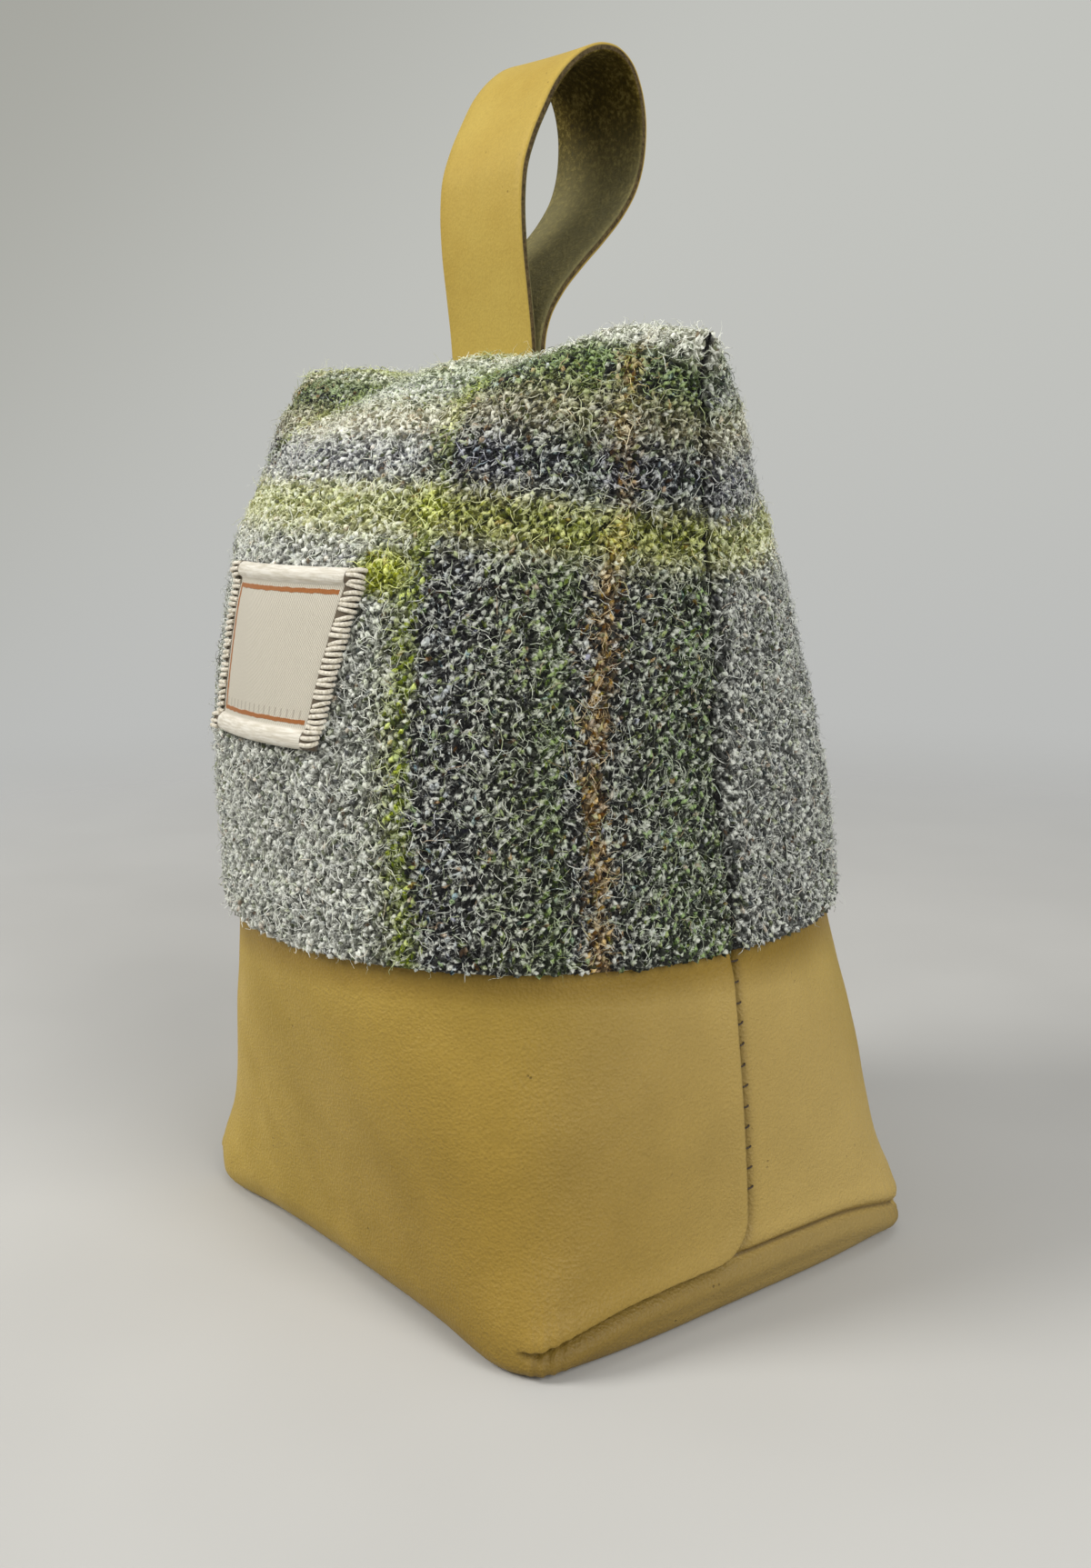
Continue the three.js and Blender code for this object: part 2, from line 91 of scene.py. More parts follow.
# %% Node helpers
class Wiring:
    def __init__(self, tree):
        self.tree = tree

    def node(self, kind, inputs=None, **settings):
        made = self.tree.nodes.new(kind)
        for key, value in settings.items():
            setattr(made, key, value)
        for key, value in (inputs or {}).items():
            if isinstance(value, bpy.types.NodeSocket):
                self.tree.links.new(value, made.inputs[key])
            else:
                made.inputs[key].default_value = value
        return made

    def math(self, operation, *values):
        return self.node("ShaderNodeMath", dict(enumerate(values)), operation=operation).outputs[0]

    def plus(self, *values):
        return self.math("ADD", *values)

    def minus(self, *values):
        return self.math("SUBTRACT", *values)

    def times(self, *values):
        return self.math("MULTIPLY", *values)

    def most(self, *values):
        return self.math("MAXIMUM", *values)

    def above(self, *values):
        return self.math("GREATER_THAN", *values)

    def below(self, *values):
        return self.math("LESS_THAN", *values)

    def vector(self, operation, *values):
        made = self.node("ShaderNodeVectorMath", dict(enumerate(values)), operation=operation)
        return made.outputs["Value" if operation in ("DOT_PRODUCT", "LENGTH") else "Vector"]

    def scaled(self, vector, scale):
        made = self.node("ShaderNodeVectorMath", {0: vector, "Scale": scale}, operation="SCALE")
        return made.outputs["Vector"]

    def split(self, vector):
        return self.node("ShaderNodeSeparateXYZ", {0: vector}).outputs

    def joined(self, x=0.0, y=0.0, z=0.0):
        return self.node("ShaderNodeCombineXYZ", {0: x, 1: y, 2: z}).outputs[0]

    def blend(self, share, first, second, kind="MIX"):
        made = self.node("ShaderNodeMix", {0: share, 6: first, 7: second}, data_type="RGBA")
        made.blend_type = kind
        return made.outputs[2]

    def shaded(self, color, red, green, blue):
        return self.blend(1.0, color, (red, green, blue, 1), "MULTIPLY")

    def deepened(self, color, share):
        """A colour times itself, which turns the dark ones deeper and keeps the pale ones."""
        factor = self.blend(1.0, self.shaded(color, share, share, share), (0.08, 0.08, 0.08, 1), "ADD")
        return self.blend(1.0, color, factor, "MULTIPLY")

    def smooth(self, value, low, high, to_low=0.0, to_high=1.0):
        return self.node(
            "ShaderNodeMapRange",
            {0: value, 1: low, 2: high, 3: to_low, 4: to_high},
            interpolation_type="SMOOTHSTEP",
        ).outputs[0]

    def noise(self, place, scale, detail=2.0, roughness=0.5, distortion=0.0):
        return self.node(
            "ShaderNodeTexNoise",
            {"Vector": place, "Scale": scale, "Detail": detail, "Roughness": roughness,
             "Distortion": distortion},
        ).outputs[0]

    def ramp(self, value, stops):
        made = self.node("ShaderNodeValToRGB", {0: value})
        elements = made.color_ramp.elements
        while len(elements) < len(stops):
            elements.new(0.5)
        for element, (at, color) in zip(elements, stops):
            element.position = at
        for element, (at, color) in zip(elements, stops):
            element.color = color
        return made.outputs[0]

    def attribute(self, name, output="Fac"):
        return self.node("ShaderNodeAttribute", attribute_name=name).outputs[output]

    def bump(self, strength, distance, height, **more):
        inputs = {"Strength": strength, "Distance": distance, "Height": height, **more}
        return self.node("ShaderNodeBump", inputs).outputs[0]

    def send(self, sockets, *values):
        for socket, value in zip(sockets, values):
            self.tree.links.new(value, socket)


def tint(text):
    """A colour written as six hex digits, as linear light."""
    shares = [int(text[i : i + 2], 16) / 255 for i in (0, 2, 4)]
    return tuple(s / 12.92 if s <= 0.04045 else ((s + 0.055) / 1.055) ** 2.4 for s in shares) + (1,)


def node_group(name, inputs, outputs, kind="ShaderNodeTree"):
    tree = bpy.data.node_groups.new(name, kind)
    for label, value_kind, value in inputs:
        socket = tree.interface.new_socket(label, in_out="INPUT", socket_type="NodeSocket" + value_kind)
        if value is not None:
            socket.default_value = value
    for label, value_kind in outputs:
        tree.interface.new_socket(label, in_out="OUTPUT", socket_type="NodeSocket" + value_kind)
    wiring = Wiring(tree)
    return wiring, wiring.node("NodeGroupInput").outputs, wiring.node("NodeGroupOutput").inputs


def material(name, roughness, **settings):
    made = bpy.data.materials.new(name)
    made.use_nodes = True
    wiring = Wiring(made.node_tree)
    surface = made.node_tree.nodes["Principled BSDF"]
    surface.inputs["Roughness"].default_value = roughness
    for label, value in settings.items():
        surface.inputs[label.replace("_", " ")].default_value = value
    return made, wiring, surface


def object_place(wiring):
    return wiring.node("ShaderNodeTexCoord").outputs["Object"]


def use_group(wiring, name, **inputs):
    values = {label.replace("_", " "): value for label, value in inputs.items()}
    return wiring.node("ShaderNodeGroup", values, node_tree=bpy.data.node_groups[name]).outputs


def join(wiring, source, surface, label):
    wiring.tree.links.new(source, surface.inputs[label])


# %% [markdown]
# ## Outline of the bag
# Each level of the bag is a rounded rectangle whose width, depth and squareness change with height:
# nearly square on the floor, an oval at the hem, a thin line at the ridge. The same few numbers drive
# the solids, so cloth and leather made from them lie exactly where the solids are. Lengths are in
# millimetres here and become metres when a mesh is made.

# %% Outline of the bag
HEIGHT, WIDTH, DEPTH, HEM = 202.9, 141.0, 127.4, 79.9
UPPER = HEIGHT - HEM
TWEED, LEATHER, GAP = 2.3, 1.8, 0.3
LEAN_X, LEAN_Y, RIDGE_BOW = -13.2, -9.1, 4.65
SEAM_OPENING = 0.22
BODY = np.array([
    [0, 0.5, 0.5, 5.2],
    [HEM / 4, 0.503, 0.507, 4.26],
    [HEM, 0.4887, 0.5573, 2.14],
    [HEM + 0.28 * UPPER, 0.4723, 0.5526, 2.04],
    [HEM + 0.55 * UPPER, 0.4837, 0.5228, 1.7],
    [HEM + 0.78 * UPPER, 0.4929, 0.4215, 1.6],
    [HEM + 0.93 * UPPER, 0.5057, 0.2009, 2.29],
    [HEIGHT, 0.5255, 0.0078, 2.57],
])
RIDGE_BUMPS = [-1.8, -1.8, -4.2, -0.2, -1.5, 3.3, 0.9]


def end_slope(near, far, near_rate, far_rate):
    slope = ((2 * near + far) * near_rate - near * far_rate) / (near + far)
    if slope * near_rate <= 0:
        return 0.0
    if near_rate * far_rate <= 0 and abs(slope) > 3 * abs(near_rate):
        return 3 * near_rate
    return slope


def smooth_through(knots, values):
    """A smooth curve through the values that never overshoots them."""
    step = np.diff(knots)
    rate = np.diff(values) / step
    slope = np.zeros(len(knots))
    for i in range(1, len(knots) - 1):
        if rate[i - 1] * rate[i] > 0:
            before, after = 2 * step[i] + step[i - 1], step[i] + 2 * step[i - 1]
            slope[i] = (before + after) / (before / rate[i - 1] + after / rate[i])
    slope[0] = end_slope(step[0], step[1], rate[0], rate[1])
    slope[-1] = end_slope(step[-1], step[-2], rate[-1], rate[-2])

    def curve(x):
        i = np.clip(np.searchsorted(knots, x, side="right") - 1, 0, len(step) - 1)
        t = (x - knots[i]) / step[i]
        rise = t * t * (3 - 2 * t)
        ends = t * (1 - t) ** 2 * step[i] * slope[i] + t * t * (t - 1) * step[i] * slope[i + 1]
        return values[i] + (values[i + 1] - values[i]) * rise + ends

    return curve


half_width = smooth_through(BODY[:, 0], BODY[:, 1] * WIDTH)
half_depth_squared = smooth_through(BODY[:, 0], (BODY[:, 2] * DEPTH) ** 2)
squareness = smooth_through(BODY[:, 0], BODY[:, 3])


def middle_y(across, z):
    rise = z / HEIGHT
    return LEAN_Y * rise**1.5 + RIDGE_BOW * (1 - across**2) * rise**6


def foot_inset(z, angle):
    corner = np.abs(np.sin(2 * angle)) ** 3
    side = np.cos(angle) ** 2
    radius = (4.1 * side + 11.8 * (1 - side)) * (1 - corner) + 3.3 * corner
    up = np.clip(z / radius, 0, 1)
    ear = 4.4 * corner * np.exp(-(((z - 8.1) / 12.5) ** 2))
    return radius * (1 - np.sqrt(1 - (1 - up) ** 2)) - ear


def place(turn, z, shrink=0.0):
    """Points round the bag at one height. Turn counts quarters: 0 right seam, 1 back, 2 left, 3 front."""
    quadrant = np.floor(turn).astype(int) % 4
    share = turn - np.floor(turn)
    share = np.where(quadrant % 2 == 1, 1 - share, share)
    sign_x = np.where((quadrant == 1) | (quadrant == 2), -1, 1)
    sign_y = np.where(quadrant < 2, 1, -1)
    a = half_width(z) - shrink
    b = math.sqrt(half_depth_squared(z)) - shrink
    n = squareness(z)
    v = np.linspace(0, 0.5 ** (1 / n), 65)
    edge = (1 - v**n) ** (1 / n)
    xs = np.concatenate([a * edge, a * v[-2::-1]])
    ys = np.concatenate([b * v, b * edge[-2::-1]])
    length = np.concatenate([[0], np.cumsum(np.hypot(np.diff(xs), np.diff(ys)))])
    x = np.interp(share * length[-1], length, xs)
    y = np.interp(share * length[-1], length, ys)
    angle = np.arctan2((y / b) ** (n / 2), (x / a) ** (n / 2))
    scale = 1 - foot_inset(z, angle) / np.hypot(x, y)
    across = sign_x * x * scale / a
    rise = z / HEIGHT
    bump = np.interp(across, np.linspace(-1, 1, len(RIDGE_BUMPS)), RIDGE_BUMPS)
    point = np.stack([
        sign_x * x * scale + LEAN_X * rise**1.5,
        sign_y * y * scale + middle_y(across, z),
        z + bump * rise**6,
    ], -1)
    flat = np.stack([sign_x * (x / a) ** (n - 1) / a, sign_y * (y / b) ** (n - 1) / b, 0 * x], -1)
    flat /= np.linalg.norm(flat, axis=-1, keepdims=True)
    return SimpleNamespace(
        point=point, flat=flat, across=across, angle=np.degrees(angle),
        from_seam=share * length[-1], from_middle=(1 - share) * length[-1],
        sign_x=sign_x, sign_y=sign_y,
    )


def skin(turn, z, shrink=0.0):
    """The same points with their outward normals."""
    here = place(turn, z, shrink)
    high, low = min(z + 0.02, HEIGHT), max(z - 0.02, 0.0)
    change = place(turn, high, shrink).point - place(turn, low, shrink).point
    outward = (change * here.flat).sum(-1) / change[:, 2]
    normal = np.stack([here.flat[:, 0], here.flat[:, 1], -outward], -1)
    here.normal = normal / np.linalg.norm(normal, axis=-1, keepdims=True)
    return here


print("girth at the hem", round(float(place(np.array([0.0]), HEM).from_middle[0] * 4)), "mm")

# %% [markdown]
# ## Meshes from rows of points
# Cloth and leather are grids of points, row above row. A helper joins an outer and an inner grid into
# one closed shell, and another gives a soft random field, for the slight unevenness of a stuffed bag.


# %% Grid helpers
def grid_faces(rows, columns, start=0, wrap=False, flip=False):
    index = np.arange(rows * columns).reshape(rows, columns) + start
    if wrap:
        index = np.concatenate([index, index[:, :1]], axis=1)
    faces = np.stack([index[:-1, :-1], index[:-1, 1:], index[1:, 1:], index[1:, :-1]], -1)
    faces = faces.reshape(-1, 4)
    return faces[:, ::-1] if flip else faces


def shell_faces(rows, columns):
    """A closed shell: an outer grid, an inner grid turned inside out, and the rim that joins them."""
    count = rows * columns
    index = np.arange(count).reshape(rows, columns)
    rim = np.concatenate([index[0], index[1:, -1], index[-1, -2::-1], index[-2:0:-1, 0]])
    after = np.roll(rim, -1)
    return np.concatenate([
        grid_faces(rows, columns), grid_faces(rows, columns, count, flip=True),
        np.stack([rim, rim + count, after + count, after], -1),
    ])


def make_object(name, points, faces, finish=None, edges=()):
    """A smooth mesh from points in millimetres, linked to the scene."""
    mesh = bpy.data.meshes.new(name)
    faces = faces if isinstance(faces, list) else faces.tolist()
    mesh.from_pydata((np.asarray(points) / 1000).tolist(), list(edges), faces)
    mesh.polygons.foreach_set("use_smooth", [True] * len(mesh.polygons))
    mesh.validate()
    made = bpy.data.objects.new(name, mesh)
    bpy.context.scene.collection.objects.link(made)
    if finish:
        mesh.materials.append(finish)
    return made


def point_values(obj, name, values):
    kind = "FLOAT_VECTOR" if np.ndim(values) == 2 else "FLOAT"
    layer = obj.data.attributes.new(name, kind, "POINT")
    key = "vector" if kind == "FLOAT_VECTOR" else "value"
    layer.data.foreach_set(key, np.asarray(values, np.float32).ravel())


def uv_values(obj, uv, name="UVMap"):
    layer = obj.data.uv_layers.new(name=name)
    corners = np.zeros(len(obj.data.loops), int)
    obj.data.loops.foreach_get("vertex_index", corners)
    layer.data.foreach_set("uv", np.asarray(uv, np.float32)[corners].ravel())


def soft_field(points, size, seed):
    """A smooth random field from about -1 to 1, whose lumps are roughly size millimetres."""
    chance = np.random.default_rng(seed)
    total = 0
    for k in range(9):
        way = chance.normal(size=3)
        way *= 2 * math.pi / (size * chance.uniform(0.8, 1.7)) / np.linalg.norm(way)
        total = total + np.sin(points @ way + chance.uniform(0, 6.3))
    return total / 4.5


def triangles(obj):
    obj.data.calc_loop_triangles()
    return len(obj.data.loop_triangles)


# %% [markdown]
# ## The tweed's check
# Tweed like this is a twill of thick, fuzzy yarns in two sets. Coloured yarns in the upright set give
# stripes that keep their distance from the middle of a panel. Coloured yarns in the crossing set give
# bands that keep their height above the hem. Each yarn is heather wool: pale and dark fibres spun
# together, which reads as flecks. So the colour is worked out from a place on the flat cloth: x is the
# distance from the panel's middle, y the height above the hem, z tells which set the yarn is in.

# %% Colours of the cloth
CLOTH_SHIFT = 230.0       # the back panel is cut from further along the same cloth
STRIPES = [
    (-115, "a3a2a0"), (-100, "3e481e"), (-82, "24280f"), (-79, "a06a08"), (-76, "222414"),
    (-44, "34362c"), (-39, "99a820"), (-36.5, "a6a89e"), (-20, "dedfd8"),
    (20, "dedfd8"), (31, "c0c2b8"), (36.2, "868a5c"), (37.6, "aab81a"), (39.6, "9caa1c"),
    (41.2, "1a1d1c"), (48, "12161f"), (54, "22261f"), (58, "303812"), (66, "34400e"),
    (69.2, "4c6210"), (71.4, "485a10"), (72.8, "161822"), (75.8, "241f0c"), (77.2, "ae8a22"),
    (79.6, "947322"), (80.8, "20221e"), (88, "2c3618"), (96, "30440c"),
    (112, "3c4c14"), (120, "34441c"), (126, "8c8c8a"), (152, "8e908c"),
]
BANDS_END = 150.0          # the height above the hem, along the cloth, that the last band reaches
BANDS = [
    (0, "92938c"), (55, "94958e"), (82, "92938e"), (86.5, "c0c0a4"), (89, "dedda0"),
    (91.5, "c8ca54"), (95.5, "bcc048"), (97.5, "dad898"), (100, "9c9c92"), (103, "46475a"),
    (108, "4e4e60"), (111, "86847a"), (115, "c8c09c"), (119, "bcb68c"), (123, "8e924e"),
    (127, "627a14"), (131, "627c30"), (135, "8a965a"), (139, "b6baa2"), (143, "c6cc90"),
    (146, "d6de88"), (150, "dae284"),
]

wire, given, result = node_group(
    "tweed_check", [("Cloth place", "Vector", None)], [("Color", "Color")]
)
parts = wire.split(given[0])
span = STRIPES[-1][0] - STRIPES[0][0]
wander = wire.minus(wire.noise(given[0], 0.33, 2.0), 0.5)
across = wire.plus(parts[0], wire.times(wander, 9.0))
along_width = wire.math("DIVIDE", wire.minus(across, STRIPES[0][0]), span)
stripe = wire.ramp(along_width, [((u - STRIPES[0][0]) / span, tint(c)) for u, c in STRIPES])
band = wire.ramp(wire.math("DIVIDE", parts[1], BANDS_END), [(v / BANDS_END, tint(c)) for v, c in BANDS])
# Near the ridge the stripes give way to the pale top bands. This is partly the cloth's own pale band and
# partly painted highlight, where light from above falls on the ridge.
near_ridge = wire.smooth(parts[1], 127.0, 137.0, 0.0, 0.85)
in_bands = wire.times(wire.smooth(parts[1], 84.0, 88.0), wire.smooth(parts[1], 127.0, 121.0, 0.0, 0.7))
to_side = wire.math("ABSOLUTE", parts[0])
in_bands = wire.times(in_bands, wire.smooth(to_side, 48.0, 36.0, 0.85, 1.0))
own_share = wire.times(parts[2], wire.smooth(to_side, 36.0, 48.0, 0.78, 0.5))
in_full = wire.smooth(to_side, 36.0, 48.0, 0.68, 0.74)
own_share = wire.plus(own_share, wire.times(in_bands, wire.minus(in_full, own_share)))
near_ridge = wire.times(near_ridge, wire.smooth(to_side, 48.0, 60.0, 1.0, 0.8))
# At the right, near the ridge, the bands are paled to cream. This is partly the cloth's own colour and
# partly painted highlight on the ridge.
at_right = wire.times(wire.smooth(parts[1], 132.0, 139.0, 0.0, 0.9), wire.smooth(parts[0], 20.0, 45.0))
band = wire.blend(at_right, band, tint("d8d8cc"))
near_ridge = wire.most(near_ridge, at_right)
woven = wire.blend(wire.most(own_share, near_ridge), stripe, band)
slub = wire.vector("LENGTH", wire.vector("MULTIPLY", wire.vector("SUBTRACT", given[0], (31.0, 79.5, 0.0)),
                                         (0.12, 0.15, 0.0)))
woven = wire.blend(wire.smooth(slub, 1.0, 0.35, 0.0, 0.95), woven, tint("c2c818"))
wire.send(result, woven)
print("check:", len(STRIPES), "stripe colours and", len(BANDS), "band colours")

# %% [markdown]
# The heather is a second group. A random number for each yarn piece decides whether it is a pale fleck,
# a dark fleck or the plain colour. Fine curly lines, where a noise crosses its middle value, stand for
# the fibres that lie on it.

# %% Curly lines and heather flecks
wire, given, result = node_group("curly_lines", [("Place", "Vector", None)], [("Lines", "Float")])
lines = 0.0
for k, size in enumerate((620.0, 840.0, 1150.0)):
    spot = wire.vector("ADD", given[0], (0.31 * k, 0.17 * k, 0.23 * k))
    away = wire.math("ABSOLUTE", wire.minus(wire.noise(spot, size, 1.0), 0.5))
    lines = wire.most(lines, wire.smooth(away, 0.06, 0.02))
wire.send(result, lines)

wire, given, result = node_group(
    "heather",
    [("Color", "Color", (0.3, 0.3, 0.3, 1)), ("Tone", "Float", 0.5), ("Place", "Vector", None)],
    [("Color", "Color")],
)
lines = use_group(wire, "curly_lines", Place=given["Place"])[0]
lumps = wire.noise(given["Place"], 850.0, 2.0, 0.6)
calmer = wire.plus(wire.times(given["Tone"], 0.75), 0.14)
tone = wire.plus(calmer, wire.times(wire.minus(lumps, 0.5), 1.7))
pale = wire.smooth(tone, 0.62, 0.78, 0.0, 0.97)
dark = wire.smooth(tone, 0.57, 0.36)
pick = wire.math("FRACT", wire.times(given["Tone"], 37.7))
dyed = given["Color"]
for low, high, share, dye in (
    (0.0, 0.08, 0.4, "7c8c1c"), (0.1, 0.14, 0.3, "2f5a66"), (0.16, 0.19, 0.35, "a8761c"),
    (0.21, 0.28, 0.35, "56702a"), (0.29, 0.32, 0.35, "4a4a72"),
):
    chosen = wire.times(wire.above(pick, low), wire.below(pick, high))
    dyed = wire.blend(wire.times(chosen, share), dyed, tint(dye))
parts = wire.node("ShaderNodeSeparateColor", {0: dyed}, mode="HSV").outputs
value = wire.math("MINIMUM", wire.most(wire.times(parts[2], 1.9), 0.4), 0.88)
bright = wire.node("ShaderNodeCombineColor", {0: parts[0], 1: wire.times(parts[1], 0.8), 2: value},
                   mode="HSV").outputs[0]
vivid = wire.times(parts[1], wire.smooth(parts[2], 0.005, 0.06))
light = wire.blend(wire.smooth(vivid, 0.2, 0.75, 0.45, 0.12), bright, tint("fdfff0"))
color = wire.blend(dark, dyed, wire.deepened(dyed, 0.55))
color = wire.blend(pale, color, light)
hair = wire.times(lines, wire.smooth(tone, 0.45, 0.9, 0.0, 0.85))
wire.send(result, wire.blend(hair, color, light))

# %% [markdown]
# Three finishes use these groups: the ground cloth under the yarns, the raised yarns, and the loose
# fibres that stand off them.


# %% Tweed finishes
def woven_color(wire):
    return use_group(wire, "tweed_check", Cloth_place=wire.attribute("cloth_place", "Vector"))[0]


def tweed_finish(name, ground):
    """The ground cloth is deepened in colour and turns dark down in the seam: painted shade between the
    raised yarns and in the seam.
    """
    made, wire, surface = material(
        name, 0.95, Sheen_Weight=0.08, Sheen_Roughness=0.6, Specular_IOR_Level=0.2
    )
    color, spot = woven_color(wire), object_place(wire)
    # Painted shade: the cloth between the raised yarns is deepened as if it lay in their shadow.
    if ground:
        color = wire.deepened(color, 0.65)
    color = use_group(wire, "heather", Color=color, Tone=wire.attribute("tone"), Place=spot)[0]
    # Painted shade: near the seam the ground turns nearly black, for the shadow down in the groove.
    if ground:
        color = wire.blend(wire.smooth(wire.attribute("from_seam"), 1.8, 0.4), color, tint("12110f"))
    join(wire, color, surface, "Base Color")
    strength, distance = (0.8, 0.0004) if ground else (0.7, 0.0003)
    lines = use_group(wire, "curly_lines", Place=spot)[0]
    join(wire, wire.bump(strength, distance, lines), surface, "Normal")
    return made


tweed_ground = tweed_finish("tweed_ground", True)
tweed_yarn = tweed_finish("tweed_yarn", False)

tweed_fibre, wire, surface = material("tweed_fibre", 0.8, Sheen_Weight=0.1)
tone = wire.plus(wire.times(wire.attribute("tone"), 0.75), 0.25)
soft = use_group(wire, "heather", Color=woven_color(wire), Tone=tone, Place=object_place(wire))[0]
join(wire, soft, surface, "Base Color")

# %% [markdown]
# ## Tweed panels
# A panel is a thick piece of cloth bent round half of the bag. Its rows are spaced evenly along the
# cloth, its side edges dip into the seam, its lower edge is turned and rounded, and its upper edge
# opens where the strap passes through. A soft field gives the slight lumps of the stuffing. The
# distance from the middle and the height above the hem are measured along the cloth itself, so that
# the check bends with it.

# %% Rows and columns of the cloth
fine = np.linspace(HEM, HEIGHT, 1500)
middle_line = np.array([place(np.array([3.0]), z).point[0] for z in fine])
climb = np.concatenate([[0], np.cumsum(np.linalg.norm(np.diff(middle_line, axis=0), axis=1))])
first_rows = [0, 0.25, 0.7, 1.3, 2.1, 3.0]
path_rows = np.concatenate([first_rows, np.linspace(4.0, climb[-1] - 1.0, 132),
                            climb[-1] - np.array([0.55, 0.25, 0.0])])
cloth_heights = np.interp(path_rows, climb, fine)
edge_shares = np.concatenate([np.linspace(0, 0.055, 13), np.linspace(0.065, 1, 88)])
LABEL_X, LABEL_RISE, LABEL_WIDTH, LABEL_HEIGHT = -4.4, 42.6, 40.8, 35.1
LABEL_LEAN = 2.2           # how far the patch's upper edge is set aside from its middle
HEM_TURN = 2.4             # how far up the cloth its lower edge is rounded
SHEET = 400.0              # the flat cloth is laid out on a square of this side
SHEET_RISE = 75.0          # and its hem lies this far below the middle of the square
RIDGE_PATH = 147.0         # the way from the hem to the ridge that the bands are stretched to


def ridge_opening(x):
    share = np.clip((18.4 - np.abs(x - LEAN_X)) / 3.0, 0, 1)
    return SEAM_OPENING + (2.45 - SEAM_OPENING) * share * share * (3 - 2 * share)


def hem_roll(path):
    return 1 - math.sqrt(1 - max(1 - path / HEM_TURN, 0) ** 2)


def under_label(point):
    """Nearly 1 under the woven patch, where the cloth is pressed flat, and 0 elsewhere."""
    x, z = point[..., 0] - LABEL_X, point[..., 2] - HEM - LABEL_RISE - LABEL_HEIGHT / 2
    lean = LABEL_LEAN * z / (LABEL_HEIGHT / 2)
    inside = np.minimum(LABEL_WIDTH / 2 + 0.6 - np.abs(x - lean), LABEL_HEIGHT / 2 + 0.6 - np.abs(z))
    return np.clip(inside / 1.5 + 0.5, 0, 1) * (point[..., 1] < 0)


def cloth_relief(at, z, path):
    fade = min((HEIGHT - z) / 12, 1)
    seam = -2.1 * np.exp(-((at.from_seam / 1.5) ** 2)) + 0.45 * np.exp(-(((at.from_seam - 4) / 2.2) ** 2))
    pull = 0.35 * np.exp(-at.from_seam / 7) * np.sin(z * 0.8 + 2 * np.sin(z * 0.21))
    lumps = 0.45 * soft_field(at.point, 34, 5) + 0.3 * soft_field(at.point, 13, 8)
    calm = (1 - under_label(at.point)) * min(path / 8, 1) * fade
    return seam * fade - hem_roll(path) + (lumps + pull * (at.from_seam > 1)) * calm


def tweed_points(sign):
    """Outer and inner grid of a panel, and the cloth place of every outer point."""
    start = 0.0 if sign > 0 else 2.0
    turn = start + np.concatenate([edge_shares, 2 - edge_shares[-2::-1]])
    outer, inner, places, v, before, gaps = [], [], [], None, None, []
    for z, path in zip(cloth_heights, path_rows):
        at = skin(turn, z)
        u = np.where(turn - start < 1, -1, 1) * at.from_middle * (-sign)
        if v is None:
            v = np.zeros(len(turn))
        else:
            order = np.argsort(before[0])
            base = np.stack([np.interp(u, before[0][order], before[1][order, k]) for k in range(3)], -1)
            v = np.interp(u, before[0][order], v[order]) + np.linalg.norm(at.point - base, axis=1)
        before = (u, at.point)
        relief = cloth_relief(at, z, path)
        sag = 0.5 * soft_field(at.point * [1, 1, 0], 45, 3) * math.exp(-path / 6)
        for grid, depth in ((outer, relief), (inner, -TWEED + 0.8 * hem_roll(path))):
            point = at.point + at.normal * np.broadcast_to(depth, len(turn))[:, None]
            point[:, 2] += sag
            middle = middle_y(at.across, z)
            least = ridge_opening(point[:, 0]) if z > HEIGHT - 1 else SEAM_OPENING
            point[:, 1] = middle + sign * np.maximum((point[:, 1] - middle) * sign, least)
            grid.append(point)
        places.append(np.stack([u, v, 0 * u], -1))
        gaps.append(at.from_seam)
    return np.array(outer), np.array(inner), np.array(places), np.array(gaps)


def cloth_drift(places):
    """The bands dip towards the seams and follow the ridge near the top."""
    u, v = places[..., 0], places[..., 1]
    t = np.clip((np.abs(u) - 25) / 70, 0, 1)
    v = v + 8 * t * t * (3 - 2 * t)
    u = u + 0.5 * np.clip(v - 101, 0, 30) * np.clip(u / 15, -1, 1)
    top = v[-1:]
    near_top = np.clip((v - 112) / np.maximum(top - 112, 1), 0, 1)
    return np.stack([u, v + (RIDGE_PATH - top) * near_top, places[..., 2]], -1)


# %% Build both panels
def tweed_panel(name, sign):
    outer, inner, places, gaps = tweed_points(sign)
    rows, columns = outer.shape[:2]
    count = rows * columns
    points = np.concatenate([outer.reshape(-1, 3), inner.reshape(-1, 3)])
    panel = make_object(name, points, shell_faces(rows, columns), tweed_ground)
    drifted = cloth_drift(places).reshape(-1, 3)
    drifted[:, 0] += CLOTH_SHIFT if sign > 0 else 0
    drifted[:, 2] = 0.5
    point_values(panel, "cloth_place", np.concatenate([drifted, drifted]))
    point_values(panel, "tone", np.full(2 * count, 0.5))
    point_values(panel, "from_seam", np.concatenate([gaps, gaps]).reshape(-1))
    guide = make_object(name + "_guide", outer.reshape(-1, 3), grid_faces(rows, columns))
    uv_values(guide, places.reshape(-1, 3)[:, :2] / SHEET + [0.5, 0.5 - SHEET_RISE / SHEET], "cloth")
    point_values(guide, "along_u", (np.gradient(outer, axis=1) * (-sign)).reshape(-1, 3))
    point_values(guide, "along_v", np.gradient(outer, axis=0).reshape(-1, 3))
    point_values(guide, "cloth_place", drifted)
    point_values(guide, "covered", np.maximum(under_label(outer), gaps < 0.8).reshape(-1))
    edges = (gaps < 1.5) | (path_rows[:, None] < 1.8)
    point_values(guide, "bald", np.maximum(under_label(outer), edges).reshape(-1))
    print(name, triangles(panel), "triangles")
    return panel, guide


panels = {
    "tweed_front": tweed_panel("tweed_front_cloth", -1),
    "tweed_back": tweed_panel("tweed_back_cloth", 1),
}

